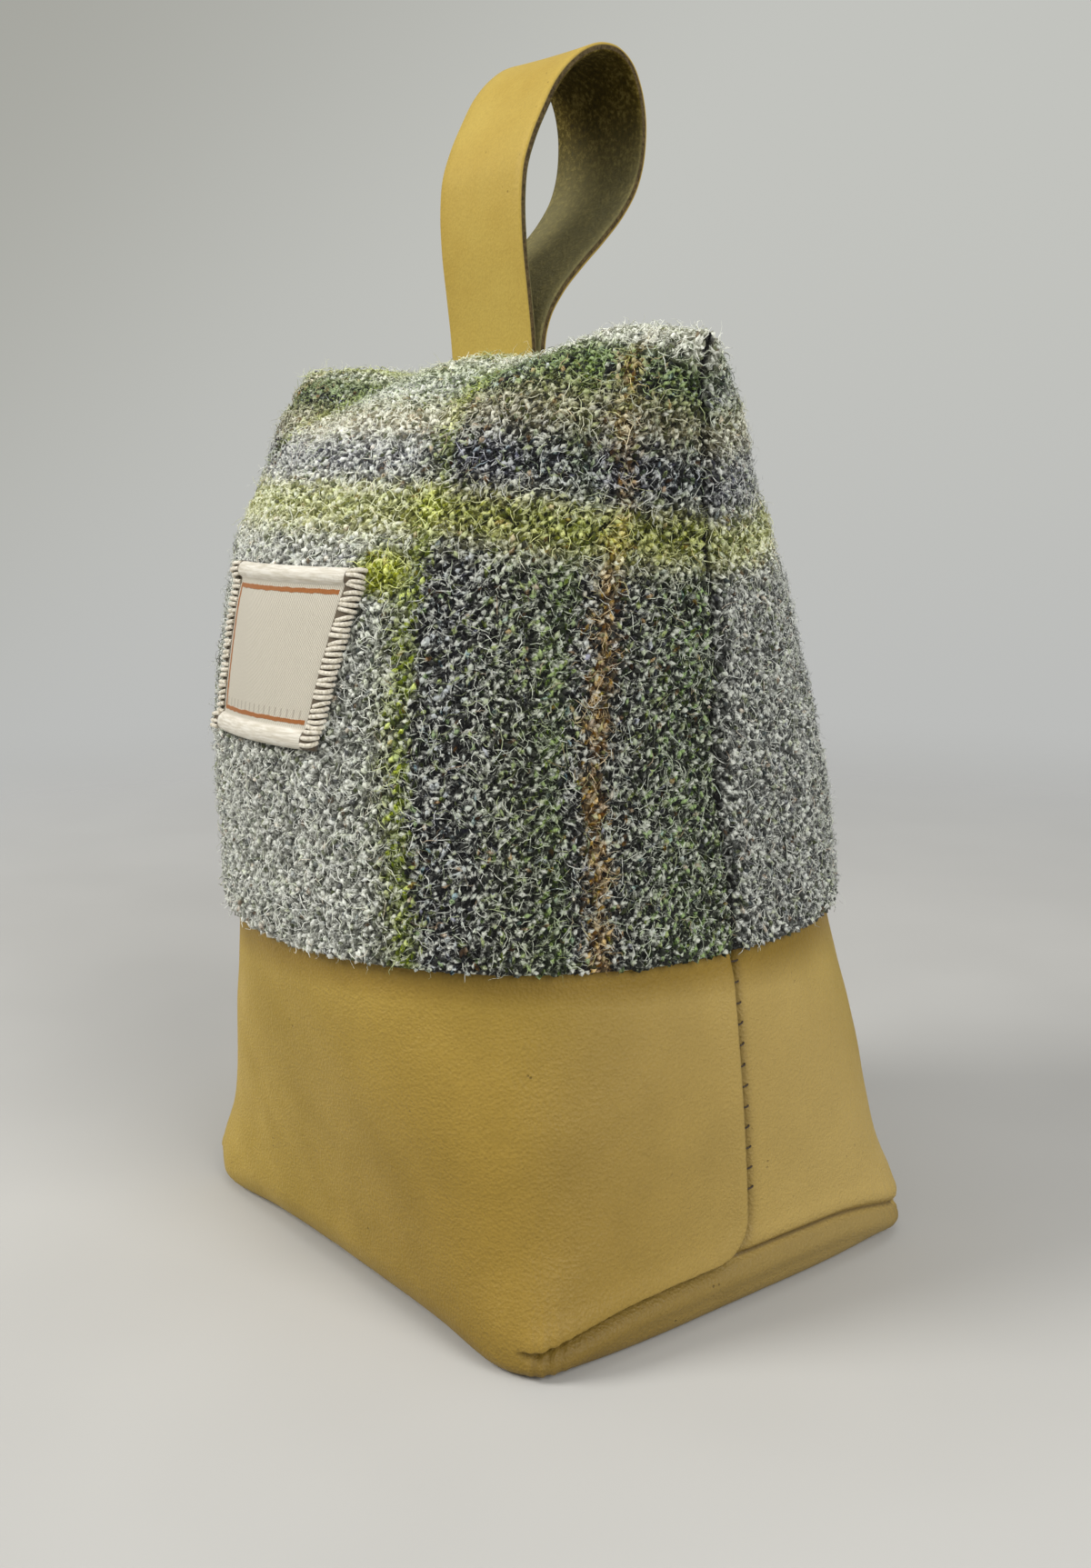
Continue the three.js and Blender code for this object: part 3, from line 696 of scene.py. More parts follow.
# %% [markdown]
# ## Raised yarns
# In a twill each yarn passes over two crossing yarns and under the next two, and every row is shifted
# by one. So the top of the cloth is a regular pattern of short floats. Geometry Nodes lay a grid of
# crossing points on the flat cloth, look up where each falls on the bent panel, and set a small
# stretched ball there for the float, turned along its yarn.


# %% Geometry Nodes helpers
def geometry_tree(name, inputs):
    geometry = ("Geometry", "Geometry")
    return node_group(name, [(*geometry, None), *inputs], [geometry], "GeometryNodeTree")


def grown(name, base, tree, **values):
    """Runs a tree on an object and returns what it grew, as a plain mesh of its own."""
    modifier = base.modifiers.new("grow", "NODES")
    modifier.node_group = tree
    for item in tree.interface.items_tree:
        if item.item_type == "SOCKET" and item.in_out == "INPUT" and item.name in values:
            modifier[item.identifier] = values[item.name]
    base.update_tag()
    bpy.context.view_layer.update()
    ready = base.evaluated_get(bpy.context.evaluated_depsgraph_get())
    mesh = bpy.data.meshes.new_from_object(ready)
    mesh.name = name
    base.modifiers.remove(modifier)
    made = bpy.data.objects.new(name, mesh)
    bpy.context.scene.collection.objects.link(made)
    print(name, triangles(made), "triangles")
    return made


def named(wiring, name, kind="FLOAT_VECTOR"):
    return wiring.node("GeometryNodeInputNamedAttribute", {0: name}, data_type=kind).outputs[0]


def random_value(wiring, low, high, seed, vector=False, change=0):
    """A random number or vector; change makes several independent ones from one seed."""
    seed = wiring.plus(seed, float(change))
    if vector:
        made = wiring.node("FunctionNodeRandomValue", {0: low, 1: high, 8: seed}, data_type="FLOAT_VECTOR")
        return made.outputs[0]
    return wiring.node("FunctionNodeRandomValue", {2: low, 3: high, 8: seed}, data_type="FLOAT").outputs[1]


def finish_tree(wiring, made, given, result):
    """The end of every tree: what it made becomes real, smooth and gets its finish."""
    made = wiring.node("GeometryNodeRealizeInstances", {0: made}).outputs[0]
    made = wiring.node("GeometryNodeSetShadeSmooth", {0: made}, domain="FACE").outputs[0]
    made = wiring.node("GeometryNodeSetMaterial", {0: made, 2: given["Finish"]}).outputs[0]
    wiring.send(result, made)
    return wiring.tree


def keep_value(wiring, geometry, name, value, kind="FLOAT"):
    return wiring.node(
        "GeometryNodeStoreNamedAttribute", {0: geometry, 2: name, 3: value}, data_type=kind
    ).outputs[0]


# %% Tree of the twill floats
wire, given, result = geometry_tree("twill_floats", [
    ("Yarn pitch", "Float", 0.00088), ("Warp yarns", "Int", 262), ("Weft yarns", "Int", 172),
    ("Float length", "Float", 0.0024), ("Float width", "Float", 0.0012), ("Float height", "Float", 0.0016),
    ("Weft share of size", "Float", 0.96), ("Seed", "Int", 1), ("Finish", "Material", None),
])
pitch = given["Yarn pitch"]
counts = [given["Warp yarns"], given["Weft yarns"]]
sizes = [wire.times(wire.minus(n, 1.0), pitch) for n in counts]
crossings = wire.node("GeometryNodeMeshGrid", dict(enumerate(sizes + counts))).outputs[0]
flat_place = wire.node("GeometryNodeInputPosition").outputs[0]
parts = wire.split(flat_place)
step = [wire.math("FLOOR", wire.plus(wire.math("DIVIDE", parts[k], pitch), 1000.5)) for k in (0, 1)]
phase = wire.math("MODULO", wire.minus(wire.plus(step[1], 4000.0), step[0]), 4.0)
odd = wire.above(wire.math("MODULO", phase, 2.0), 0.5)
is_weft = wire.above(phase, 1.5)
kept = wire.node("GeometryNodeDeleteGeometry", {0: crossings, 1: odd}, domain="POINT").outputs[0]
kept = wire.node("GeometryNodeMeshToPoints", {0: kept, 3: 0.0001}).outputs[0]
half = wire.times(pitch, 0.5)
centre = wire.joined(
    wire.plus(parts[0], wire.times(half, is_weft)),
    wire.plus(parts[1], wire.times(half, wire.minus(1.0, is_weft))),
)
stir = random_value(wire, (-0.0004, -0.0004, 0), (0.0004, 0.0004, 0), given["Seed"], True)
centre = wire.vector("ADD", centre, stir)
look_up = wire.vector("ADD", wire.scaled(centre, 1000 / SHEET), (0.5, 0.5, 0.0))
kept = keep_value(wire, kept, "look_up", look_up, "FLOAT_VECTOR")
kept = keep_value(wire, kept, "is_weft", is_weft)


def on_sheet(value, kind="FLOAT_VECTOR"):
    return wire.node(
        "GeometryNodeSampleUVSurface",
        {0: given["Geometry"], 1: value, 2: named(wire, "cloth"), 3: named(wire, "look_up")},
        data_type=kind,
    ).outputs


found = on_sheet(flat_place)
kept = wire.node("GeometryNodeSetPosition", {0: kept, 2: found[0]}).outputs[0]
kept = keep_value(wire, kept, "outside", wire.minus(1.0, found[1]))
kept = keep_value(wire, kept, "lies_under", on_sheet(named(wire, "covered", "FLOAT"), "FLOAT")[0])
for label, value in (
    ("upright", wire.node("GeometryNodeInputNormal").outputs[0]), ("way_u", named(wire, "along_u")),
    ("way_v", named(wire, "along_v")), ("cloth_place", named(wire, "cloth_place")),
):
    kept = keep_value(wire, kept, label, on_sheet(value)[0], "FLOAT_VECTOR")
useless = wire.most(named(wire, "outside", "FLOAT"), named(wire, "lies_under", "FLOAT"))
kept = wire.node(
    "GeometryNodeDeleteGeometry", {0: kept, 1: wire.above(useless, 0.5)}, domain="POINT"
).outputs[0]
weft = named(wire, "is_weft", "FLOAT")
parts = wire.split(named(wire, "cloth_place"))
strays = [wire.plus(parts[k], random_value(wire, -1.5, 1.5, given["Seed"], change=700 + k)) for k in (0, 1)]
marked = wire.joined(*strays, weft)
kept = keep_value(wire, kept, "cloth_place", marked, "FLOAT_VECTOR")
kept = keep_value(wire, kept, "tone", random_value(wire, 0.0, 1.0, given["Seed"], change=200))
slant = wire.plus(wire.times(weft, -0.75), 1.2)
slant = wire.plus(slant, random_value(wire, -1.0, 1.0, given["Seed"], change=100))
unit_u = wire.vector("NORMALIZE", named(wire, "way_u"))
unit_v = wire.vector("NORMALIZE", named(wire, "way_v"))
way = wire.vector(
    "ADD", wire.scaled(unit_u, wire.math("COSINE", slant)), wire.scaled(unit_v, wire.math("SINE", slant))
)
turned = wire.node(
    "FunctionNodeAxesToRotation", {0: named(wire, "upright"), 1: way},
    primary_axis="Z", secondary_axis="X",
).outputs[0]
share = wire.smooth(weft, 0.0, 1.0, 1.0, given["Weft share of size"])
size = wire.node("ShaderNodeCombineXYZ", {
    k: wire.times(wire.times(given[label], share),
                 random_value(wire, 0.36, 0.64, given["Seed"], change=300 + 100 * k))
    for k, label in enumerate(["Float length", "Float width", "Float height"])
}).outputs[0]
ball = wire.node("GeometryNodeMeshUVSphere", {0: 4, 1: 2, 2: 1.0}).outputs[0]
made = wire.node("GeometryNodeInstanceOnPoints", {0: kept, 2: ball, 5: turned, 6: size}).outputs[0]
float_tree = finish_tree(wire, made, given, result)

# %% [markdown]
# ## Loose fibres
# Wool tweed is covered with fine curly fibres that have worked out of the yarns. Geometry Nodes scatter
# short curves on the panel, bend each with its own noise, and give them a thin three-sided section.

# %% Tree of the loose fibres
wire, given, result = geometry_tree("loose_fibres", [
    ("Fibres per square metre", "Float", 175000.0), ("Fibre length", "Float", 0.0040),
    ("Fibre radius", "Float", 0.00004), ("Curl", "Float", 0.0017), ("Points", "Int", 7),
    ("Lift", "Float", 0.0), ("Least tilt", "Float", 0.95), ("Seed", "Int", 1),
    ("Finish", "Material", None),
])
spread = wire.node("GeometryNodeDistributePointsOnFaces", {
    0: given["Geometry"], 1: wire.below(named(wire, "bald", "FLOAT"), 0.5),
    4: given["Fibres per square metre"], 6: given["Seed"],
})
points = keep_value(wire, spread.outputs[0], "tone", random_value(wire, 0.0, 1.0, given["Seed"]))
lifted = wire.scaled(spread.outputs[1], given["Lift"])
points = wire.node("GeometryNodeSetPosition", {0: points, 3: lifted}).outputs[0]
lowest = wire.joined(given["Least tilt"], -0.3, -3.2)
tilt = random_value(wire, lowest, (1.62, 0.3, 3.2), given["Seed"], True, change=100)
euler = wire.node("FunctionNodeEulerToRotation", {0: tilt}).outputs[0]
turned = wire.node(
    "FunctionNodeRotateRotation", {0: spread.outputs[2], 1: euler}, rotation_space="LOCAL"
).outputs[0]
strand = wire.node("GeometryNodeCurvePrimitiveLine", {1: wire.joined(z=given["Fibre length"])}).outputs[0]
strand = wire.node("GeometryNodeResampleCurve", {0: strand, 2: given["Points"]}).outputs[0]
size = random_value(wire, 0.45, 1.35, given["Seed"])
strands = wire.node("GeometryNodeInstanceOnPoints", {0: points, 2: strand, 5: turned, 6: size}).outputs[0]
strands = wire.node("GeometryNodeRealizeInstances", {0: strands}).outputs[0]
along = wire.node("GeometryNodeSplineParameter").outputs[0]
own = wire.times(named(wire, "tone", "FLOAT"), 700.0)
wave = wire.node(
    "ShaderNodeTexNoise",
    {"Vector": wire.node("GeometryNodeInputPosition").outputs[0], "W": own, "Scale": 420.0, "Detail": 1.0},
    noise_dimensions="4D",
).outputs[1]
swing = wire.scaled(wire.vector("SUBTRACT", wave, (0.5, 0.5, 0.5)), wire.times(given["Curl"], 3.0))
swing = wire.scaled(swing, wire.smooth(along, 0.0, 0.35, 0.15, 1.0))
strands = wire.node("GeometryNodeSetPosition", {0: strands, 3: swing}).outputs[0]
section = wire.node("GeometryNodeCurvePrimitiveCircle", {0: 3, 4: given["Fibre radius"]}).outputs[0]
thin = wire.smooth(along, 1.2, 0.4, 0.3, 1.0)
made = wire.node("GeometryNodeCurveToMesh", {0: strands, 1: section, 2: thin}).outputs[0]
fibre_tree = finish_tree(wire, made, given, result)

# %% Grow yarns and fibres on both panels
for seed, (node, (panel, guide)) in enumerate(panels.items()):
    yarns = grown(node + "_yarns", guide, float_tree, Seed=3 + seed, Finish=tweed_yarn)
    fuzz = grown(node + "_fuzz", guide, fibre_tree, Seed=11 + seed, Finish=tweed_fibre)
    lying = {"Fibres per square metre": 255000.0, "Fibre length": 0.0030, "Fibre radius": 0.0001,
             "Curl": 0.0016, "Points": 5, "Lift": 0.00035, "Least tilt": 1.25, "Finish": tweed_fibre}
    curls = [grown(f"{node}_curls_{k}", guide, fibre_tree, Seed=31 + 7 * k + seed, **lying)
             for k in (1, 2)]
    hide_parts(node)
    for piece in (panel, yarns, fuzz, *curls):
        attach(piece, "root")
    bpy.data.objects.remove(guide)

# %% [markdown]
# ## Leather
# Vegetable-tanned hide has a fine grain of tiny cells, a few pores and scars, and a colour that drifts
# from pale to ochre over a hand's width. One group makes all of that from a place in the object, and
# returns a colour, a roughness and a bumped normal.

# %% Hide group
wire, given, result = node_group(
    "hide",
    [("Place", "Vector", None), ("Pale", "Color", tint("b69a47")), ("Deep", "Color", tint("a28838")),
     ("Grain", "Float", 1.0)],
    [("Color", "Color"), ("Roughness", "Float"), ("Normal", "Vector")],
)
spot = given["Place"]
drift = wire.noise(spot, 18.0, 3.0, 0.55)
cloud = wire.noise(spot, 75.0, 3.0, 0.6)
mixed = wire.plus(wire.times(drift, 0.7), wire.times(cloud, 0.3))
color = wire.blend(wire.smooth(mixed, 0.3, 0.7), given["Deep"], given["Pale"])
pores = wire.node("ShaderNodeTexVoronoi", {"Vector": spot, "Scale": 430.0}).outputs["Distance"]
rare = wire.noise(spot, 140.0, 1.0)
spots = wire.times(wire.smooth(pores, 0.16, 0.04), wire.smooth(rare, 0.6, 0.7))
color = wire.blend(wire.times(spots, 0.6), color, tint("5d4a1e"))
speck = wire.noise(spot, 1500.0, 2.0, 0.6)
color = wire.blend(wire.smooth(speck, 0.35, 0.7, 0.0, 0.12), color, tint("6d5522"))
stir = wire.node("ShaderNodeTexNoise", {"Vector": spot, "Scale": 160.0}).outputs[1]
bent = wire.vector("ADD", spot, wire.scaled(stir, 0.0012))
cells = wire.node("ShaderNodeTexVoronoi", {"Vector": bent, "Scale": 1500.0}).outputs["Distance"]
creases = wire.noise(spot, 620.0, 4.0, 0.7, 0.6)
height = wire.minus(wire.plus(wire.times(cells, 0.55), wire.times(creases, 0.9)), spots)
bump = wire.bump(wire.times(given["Grain"], 0.9), 0.0003, height)
wire.send(result, color, wire.smooth(mixed, 0.3, 0.7, 0.6, 0.5), bump)

base_leather, wire, surface = material("base_leather", 0.5, Specular_IOR_Level=0.3)
spot = object_place(wire)
hide = use_group(wire, "hide", Place=spot)
parts = wire.split(spot)
# A broad darker patch low on the right of the front. It is partly a real stain on the hide and partly
# painted shade, where the front turns away from the light.
from_corner = wire.vector("SUBTRACT", spot, (0.055, -0.06, 0.02))
stain_and_shade = wire.vector("LENGTH", wire.vector("MULTIPLY", from_corner, (13.0, 15.0, 12.0)))
# Painted shadow of the tweed hem along the top of the leather.
hem_shadow = wire.smooth(parts[2], 0.066, 0.08, 0.0, 1.2)
uneven = wire.most(wire.times(wire.smooth(stain_and_shade, 1.5, 0.0), 0.95), hem_shadow)
# Painted light: the right side face is blended towards a greyer tan, for the paler sheen that face catches.
hide_side = wire.blend(wire.smooth(parts[0], 0.05, 0.066, 0.0, 0.5), hide[0], tint("b29a66"))
color = wire.blend(uneven, hide_side, wire.shaded(hide[0], 0.6, 0.55, 0.4))
# Painted shade in the seams and on the strip below them, with the darker cut edge, nearly black.
color = wire.blend(wire.attribute("groove"), color, wire.shaded(color, 0.1, 0.07, 0.05))
join(wire, color, surface, "Base Color")
join(wire, hide[1], surface, "Roughness")
join(wire, hide[2], surface, "Normal")

# %% [markdown]
# ## Leather base
# The base is one piece of hide folded into a box. Each side has an upright seam, where the front's cut
# edge stands proud and the back rolls softly in, and below it a seam from corner to corner that closes
# the folded bottom. The corners stick out like ears, with puckers where the seam ends.

# %% Leather base
SHRINK = TWEED + GAP
CORNER_RADIUS = 9          # of the front piece's cut edge, beside the end of the upright seam
leather_shares = np.concatenate([
    np.linspace(0, 0.05, 15), np.linspace(0.057, 0.58, 84), np.linspace(0.6, 1, 22)
])
one_side = np.concatenate([leather_shares, 2 - leather_shares[-2::-1]])
leather_turn = np.concatenate([one_side[:-1], 2 + one_side[:-1]])


def box_seam_height(angle):
    return 6.7 + 5.4 * np.cos(np.minimum(angle / 40, 1) * math.pi / 2)


def in_front(at):
    """Distance from the upright seam, negative behind it."""
    return np.where(at.sign_y < 0, at.from_seam, -at.from_seam)


def beyond_front(at, z):
    """Distance past the cut edge of the front piece, whose lower corner is rounded; negative on it."""
    right = CORNER_RADIUS - in_front(at)
    up = CORNER_RADIUS - (z - box_seam_height(at.angle))
    past = np.hypot(np.maximum(right, 0), np.maximum(up, 0)) + np.minimum(np.maximum(right, up), 0)
    return past - CORNER_RADIUS


def leather_relief(at, z):
    above = z - box_seam_height(at.angle)
    reach = np.clip((48 - at.angle) / 7, 0, 1)
    bare = np.clip((HEM - z) / 6, 0, 1)
    past = beyond_front(at, z)
    proud = 1.1 * np.exp(-(((past + 1.0) / 3.2) ** 2)) * bare
    hollow = -2.0 * np.exp(-(((past - 0.5) / 1.3) ** 2)) - 0.6 * np.exp(-((past / 4) ** 2))
    t = np.clip((past + 0.4) / 1.0, 0, 1)
    edge = proud + (hollow - proud) * t * t * (3 - 2 * t)
    behind = np.clip((7 - in_front(at)) / 4, 0, 1) * np.clip(past / 1.2, 0, 1)
    crease = behind * (-1.4 * np.exp(-((above / 1.0) ** 2)) + 0.5 * np.exp(-(((above - 3) / 2.2) ** 2)))
    strip = 1.1 * np.exp(-(((above + 4.4) / 2.6) ** 2))
    pucker = 0.55 * np.sin(at.angle * 1.5 + 0.12 * above) * np.exp(-np.abs(above + 2) / 4.5)
    pucker = pucker * np.clip((at.angle - 24) / 12, 0, 1)
    seam = reach * (edge + crease + strip + pucker) * min(z / 2, 1)
    # Painted shade in the seams: a dark line at the front's cut edge, partly the hide's darker edge. Around
    # it, wider shade in the groove, behind the crease and on the downward-facing strip below the bottom
    # seam.
    dark = np.exp(-(((past - 0.35) / 0.45) ** 2)) + 0.3 * np.exp(-(((past - 1.6) / 1.6) ** 2)) * (past > 0)
    dark = np.maximum(dark, behind * 0.85 * np.exp(-(((above + 0.1) / 0.5) ** 2)))
    dark = reach * np.clip(np.maximum(dark, 0.33 * np.clip(-above / 1.5, 0, 1)), 0, 1)
    lumps = 0.2 * soft_field(at.point, 60, 21) + 0.12 * soft_field(at.point, 12, 22)
    calm = min(z / 8, 1) * np.clip((HEM + 2 - z) / 12, 0, 1) * (1 - np.exp(-((at.from_seam / 6) ** 2)))
    return seam + lumps * calm, dark


leather_heights = np.concatenate([
    [0, 0.15, 0.4, 0.8, 1.3, 2.0], np.linspace(2.6, 22, 56), np.linspace(23.5, HEM - 4, 30),
    np.linspace(HEM - 2.5, HEM + 12, 9),
])
outer, inner, grooves = [], [], []
for z in leather_heights:
    at = skin(leather_turn, z, SHRINK)
    relief, dark = leather_relief(at, z)
    grooves.append(dark)
    outer.append(at.point + at.normal * relief[:, None])
    inside = at.point + at.normal * (np.minimum(relief, 0) * 0.7 - LEATHER)[:, None]
    inside[:, 2] = np.maximum(inside[:, 2], LEATHER)
    inner.append(inside)
outer[0][:, 2] = 0
outer, inner = np.array(outer), np.array(inner[:1] + inner[1:-1:2] + inner[-1:])
rings = [outer[0] * k for k in (0.3, 0.6, 0.82, 0.94)]
floor_rings = [inner[0] * [k, k, 0] + [0, 0, LEATHER] for k in (0.9, 0.6, 0.3)]
wall = np.array(rings + list(outer) + list(inner[::-1]) + floor_rings)
rows, columns = wall.shape[:2]
points = np.concatenate([[[0, 0, 0]], wall.reshape(-1, 3), [[0, 0, LEATHER]]])
faces = grid_faces(rows, columns, 1, wrap=True).tolist()
faces += [[0, 1 + (k + 1) % columns, 1 + k] for k in range(columns)]
last = 1 + (rows - 1) * columns
faces += [[len(points) - 1, last + k, last + (k + 1) % columns] for k in range(columns)]
leather = make_object("leather_base_hide", points, faces, base_leather)
marks = np.zeros(len(points))
first = 1 + len(rings) * columns
marks[first : first + len(outer) * columns] = np.concatenate(grooves)
point_values(leather, "groove", marks)
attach(leather, "root")
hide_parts("leather_base")
print("leather base", triangles(leather), "triangles")

# %% [markdown]
# ## Strap
# The strap is one band of thicker hide, bent into a loop with both ends sewn into the ridge. Its outer
# face is the smooth grain, its inner face the napped flesh side, and its cut edges are darker. It is a
# narrow rounded section carried along the loop's middle line, and a number on every point tells the
# finish which of the three faces it is on.

# %% Middle line of the loop
STRAP_HALF = 15.0          # half the strap's width
STRAP_THICK = 2.0
LOOP_SIZE = 66.9           # from the ridge to the top of the loop, which the points below are shares of
TAIL = 13                  # how deep both ends go into the ridge seam
LOOP = np.array([
    [-0.037, 0.196], [-0.056, 0.36], [-0.059, 0.495], [-0.049, 0.584], [-0.017, 0.674],
    [0.031, 0.767], [0.089, 0.86], [0.15, 0.922], [0.213, 0.964], [0.28, 0.985], [0.34, 0.981],
    [0.391, 0.949], [0.428, 0.889], [0.451, 0.809], [0.455, 0.713], [0.443, 0.629], [0.416, 0.555],
    [0.362, 0.475], [0.276, 0.384], [0.18, 0.294], [0.099, 0.208], [0.049, 0.133],
])
strap_y = middle_y(0, HEIGHT)
low, layer = HEIGHT - TAIL, (STRAP_THICK + GAP) / 2
line = np.concatenate([
    [[strap_y - layer, low], [strap_y - layer, low + TAIL / 2], [strap_y - layer, HEIGHT],
     [strap_y - layer - 0.3, HEIGHT + 4.2]],
    LOOP * LOOP_SIZE + [strap_y, HEIGHT],
    [[strap_y + layer + 0.5, HEIGHT + 4.2], [strap_y + layer, HEIGHT],
     [strap_y + layer, low + TAIL / 2], [strap_y + layer, low]],
])
chord = np.concatenate([[0], np.cumsum(np.linalg.norm(np.diff(line, axis=0), axis=1))])
slopes = np.gradient(line, chord, axis=0)
along = np.linspace(0, chord[-1], 260)
knot = np.clip(np.searchsorted(chord, along, side="right") - 1, 0, len(chord) - 2)
step = (chord[knot + 1] - chord[knot])[:, None]
t = (along - chord[knot])[:, None] / step
path = (
    line[knot] * (1 + 2 * t) * (1 - t) ** 2 + line[knot + 1] * t * t * (3 - 2 * t)
    + slopes[knot] * step * t * (1 - t) ** 2 + slopes[knot + 1] * step * t * t * (t - 1)
)
print("strap", round(float(chord[-1])), "mm long")

# %% Strap mesh
heading = np.gradient(path, axis=0)
heading /= np.linalg.norm(heading, axis=1, keepdims=True)
outward = np.stack([-heading[:, 1], heading[:, 0]], -1)
across = np.concatenate([[-STRAP_HALF], np.linspace(-14.6, 14.6, 13), [STRAP_HALF]])
edge_drop = [0.3 if abs(x) > 14.8 else 0.0 for x in across]
face = [(x, 1.0 - drop, 0.0) for x, drop in zip(across, edge_drop)]
back = [(x, -height, 1.0) for x, height, side in face[::-1]]
right_edge = [(STRAP_HALF, 0.2, 0.5), (STRAP_HALF, -0.3, 0.5)]
left_edge = [(-x, height, side) for x, height, side in right_edge[::-1]]
section = face + right_edge + back + left_edge
rings, sides = [], []
for k, (centre, out) in enumerate(zip(path, outward)):
    cup = 0.25 * math.sin(math.pi * k / (len(path) - 1))
    for x, height, side in section:
        spot = centre + out * (height + cup * (x / STRAP_HALF) ** 2)
        rings.append([LEAN_X + x, spot[0], spot[1]])
        sides.append(side)
count = len(section)
faces = grid_faces(len(path), count, wrap=True).tolist()
faces += [list(range(count)), [len(rings) - 1 - k for k in range(count)]]

strap_leather, wire, surface = material("strap_leather", 0.5, Specular_IOR_Level=0.15)
spot = object_place(wire)
pale, deep = tint("bba250"), tint("ae9140")
grain = use_group(wire, "hide", Place=spot, Pale=pale, Deep=deep, Grain=0.3)
side = wire.attribute("strap_side")
nap = wire.noise(spot, 900.0, 4.0, 0.7)
mottle = wire.plus(wire.times(nap, 0.7), wire.times(wire.noise(spot, 120.0, 2.0), 0.3))
flesh = wire.ramp(mottle, [(0.32, tint("2a2106")), (0.5, tint("4a3d0c")), (0.66, tint("82733c"))])
# Painted light: lower down, the inner face is paled where light from above falls into the loop.
flesh = wire.blend(wire.smooth(wire.split(spot)[2], 0.262, 0.235, 0.0, 0.45), flesh, tint("948f68"))
edge = wire.ramp(wire.noise(spot, 1400.0, 3.0, 0.7), [(0.3, tint("2e2618")), (0.7, tint("6a5a3c"))])
color = wire.blend(wire.smooth(side, 0.05, 0.4), grain[0], edge)
color = wire.blend(wire.smooth(side, 0.6, 0.95), color, flesh)
join(wire, color, surface, "Base Color")
join(wire, wire.smooth(side, 0.1, 0.5, 0.55, 0.9), surface, "Roughness")
rough = wire.bump(wire.smooth(side, 0.1, 0.6, 0.0, 0.8), 0.0005, nap, Normal=grain[2])
join(wire, rough, surface, "Normal")
strap = make_object("handle_strap_hide", rings, faces, strap_leather)
point_values(strap, "strap_side", sides)
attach(strap, "root")
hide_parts("handle_strap")
print("strap", triangles(strap), "triangles")

# %% [markdown]
# ## Woven patch
# The patch is a small cream label, woven fine like satin. Its top and bottom are rolled over into thick
# shiny borders, its two sides are bound with overlocked thread, and a thin line of russet thread frames
# the bare middle.


# %% Patch surface
def front_face(x, z, out):
    """A place on the front of the cloth, moved out from it."""
    a, b = half_width(z), np.sqrt(half_depth_squared(z))
    n = squareness(z)
    across = (x - LEAN_X * (z / HEIGHT) ** 1.5) / a
    y = middle_y(across, z) - b * (1 - np.abs(across) ** n) ** (1 / n)
    slope = np.sign(across) * np.abs(across) ** (n - 1) * (b / a)
    fall = np.sqrt(half_depth_squared(z + 0.5)) - np.sqrt(half_depth_squared(z - 0.5))
    normal = np.stack([slope, -np.ones_like(slope), -fall * np.ones_like(slope)], -1)
    normal /= np.linalg.norm(normal, axis=-1, keepdims=True)
    return np.stack([x, y, z + 0 * x], -1) + normal * np.asarray(out)[..., None], normal


def patch_place(u, v, out):
    width = LABEL_WIDTH - 5.2 + 0.5 * (1 - 2 * v)
    x = LABEL_X + 2.6 + LABEL_LEAN * (2 * v - 1) + (u - 0.5) * width
    return front_face(x, HEM + LABEL_RISE + v * (LABEL_HEIGHT + 0.8) + 0 * x, out)


def patch_roll(v):
    """How far the rolled borders stand up: the lower one is broader than the upper one."""
    low, high = v * LABEL_HEIGHT / 2.0 - 1, (1 - v) * LABEL_HEIGHT / 1.6 - 1
    return 1.5 * (np.sqrt(np.maximum(1 - low**2, 0)) + np.sqrt(np.maximum(1 - high**2, 0)))


vs = np.unique(np.concatenate([
    np.linspace(0, 0.12, 12), np.linspace(0.12, 0.9, 30), np.linspace(0.9, 1, 12)
]))
U, V = np.meshgrid(np.linspace(0, 1, 44), vs)
curl = 0.25 * (np.abs(2 * U - 1) ** 6)
top = np.stack([patch_place(U[k], V[k], 1.15 + patch_roll(V[k]) + curl[k])[0] for k in range(len(vs))])
under = np.stack([patch_place(U[k], V[k], 0.42 + 0 * U[k])[0] for k in range(len(vs))])

patch_cloth, wire, surface = material("patch_cloth", 0.6, Sheen_Weight=0.05)
spot = object_place(wire)
parts = wire.split(wire.node("ShaderNodeUVMap", uv_map="UVMap").outputs[0])
x = wire.times(wire.minus(parts[0], 0.5), LABEL_WIDTH)
y = wire.times(parts[1], LABEL_HEIGHT)


def wave(value, length):
    return wire.math("SINE", wire.times(value, 2 * math.pi / length))


def line_mask(value, at, width):
    off = wire.math("ABSOLUTE", wire.minus(value, at))
    return wire.smooth(off, width / 2 + 0.1, width / 2 - 0.1)


fine, rib = wave(wire.plus(x, y), 0.55), wave(x, 0.32)
upper_border = wire.smooth(y, LABEL_HEIGHT - 3.5, LABEL_HEIGHT - 2.9)
borders = wire.most(wire.smooth(y, 4.3, 3.7), upper_border)
# Pale streaks along the rolled borders: paler satin thread, with painted sheen along the streaks.
wound = wire.noise(wire.vector("MULTIPLY", spot, (300.0, 300.0, 2600.0)), 1.0, 2.0)
wound = wire.blend(wire.smooth(wound, 0.3, 0.7), tint("cfc7b4"), tint("eae5d8"))
cloth = wire.blend(wire.smooth(fine, -1.0, 1.0), tint("aca492"), tint("ccc6b6"))
color = wire.blend(borders, cloth, wound)

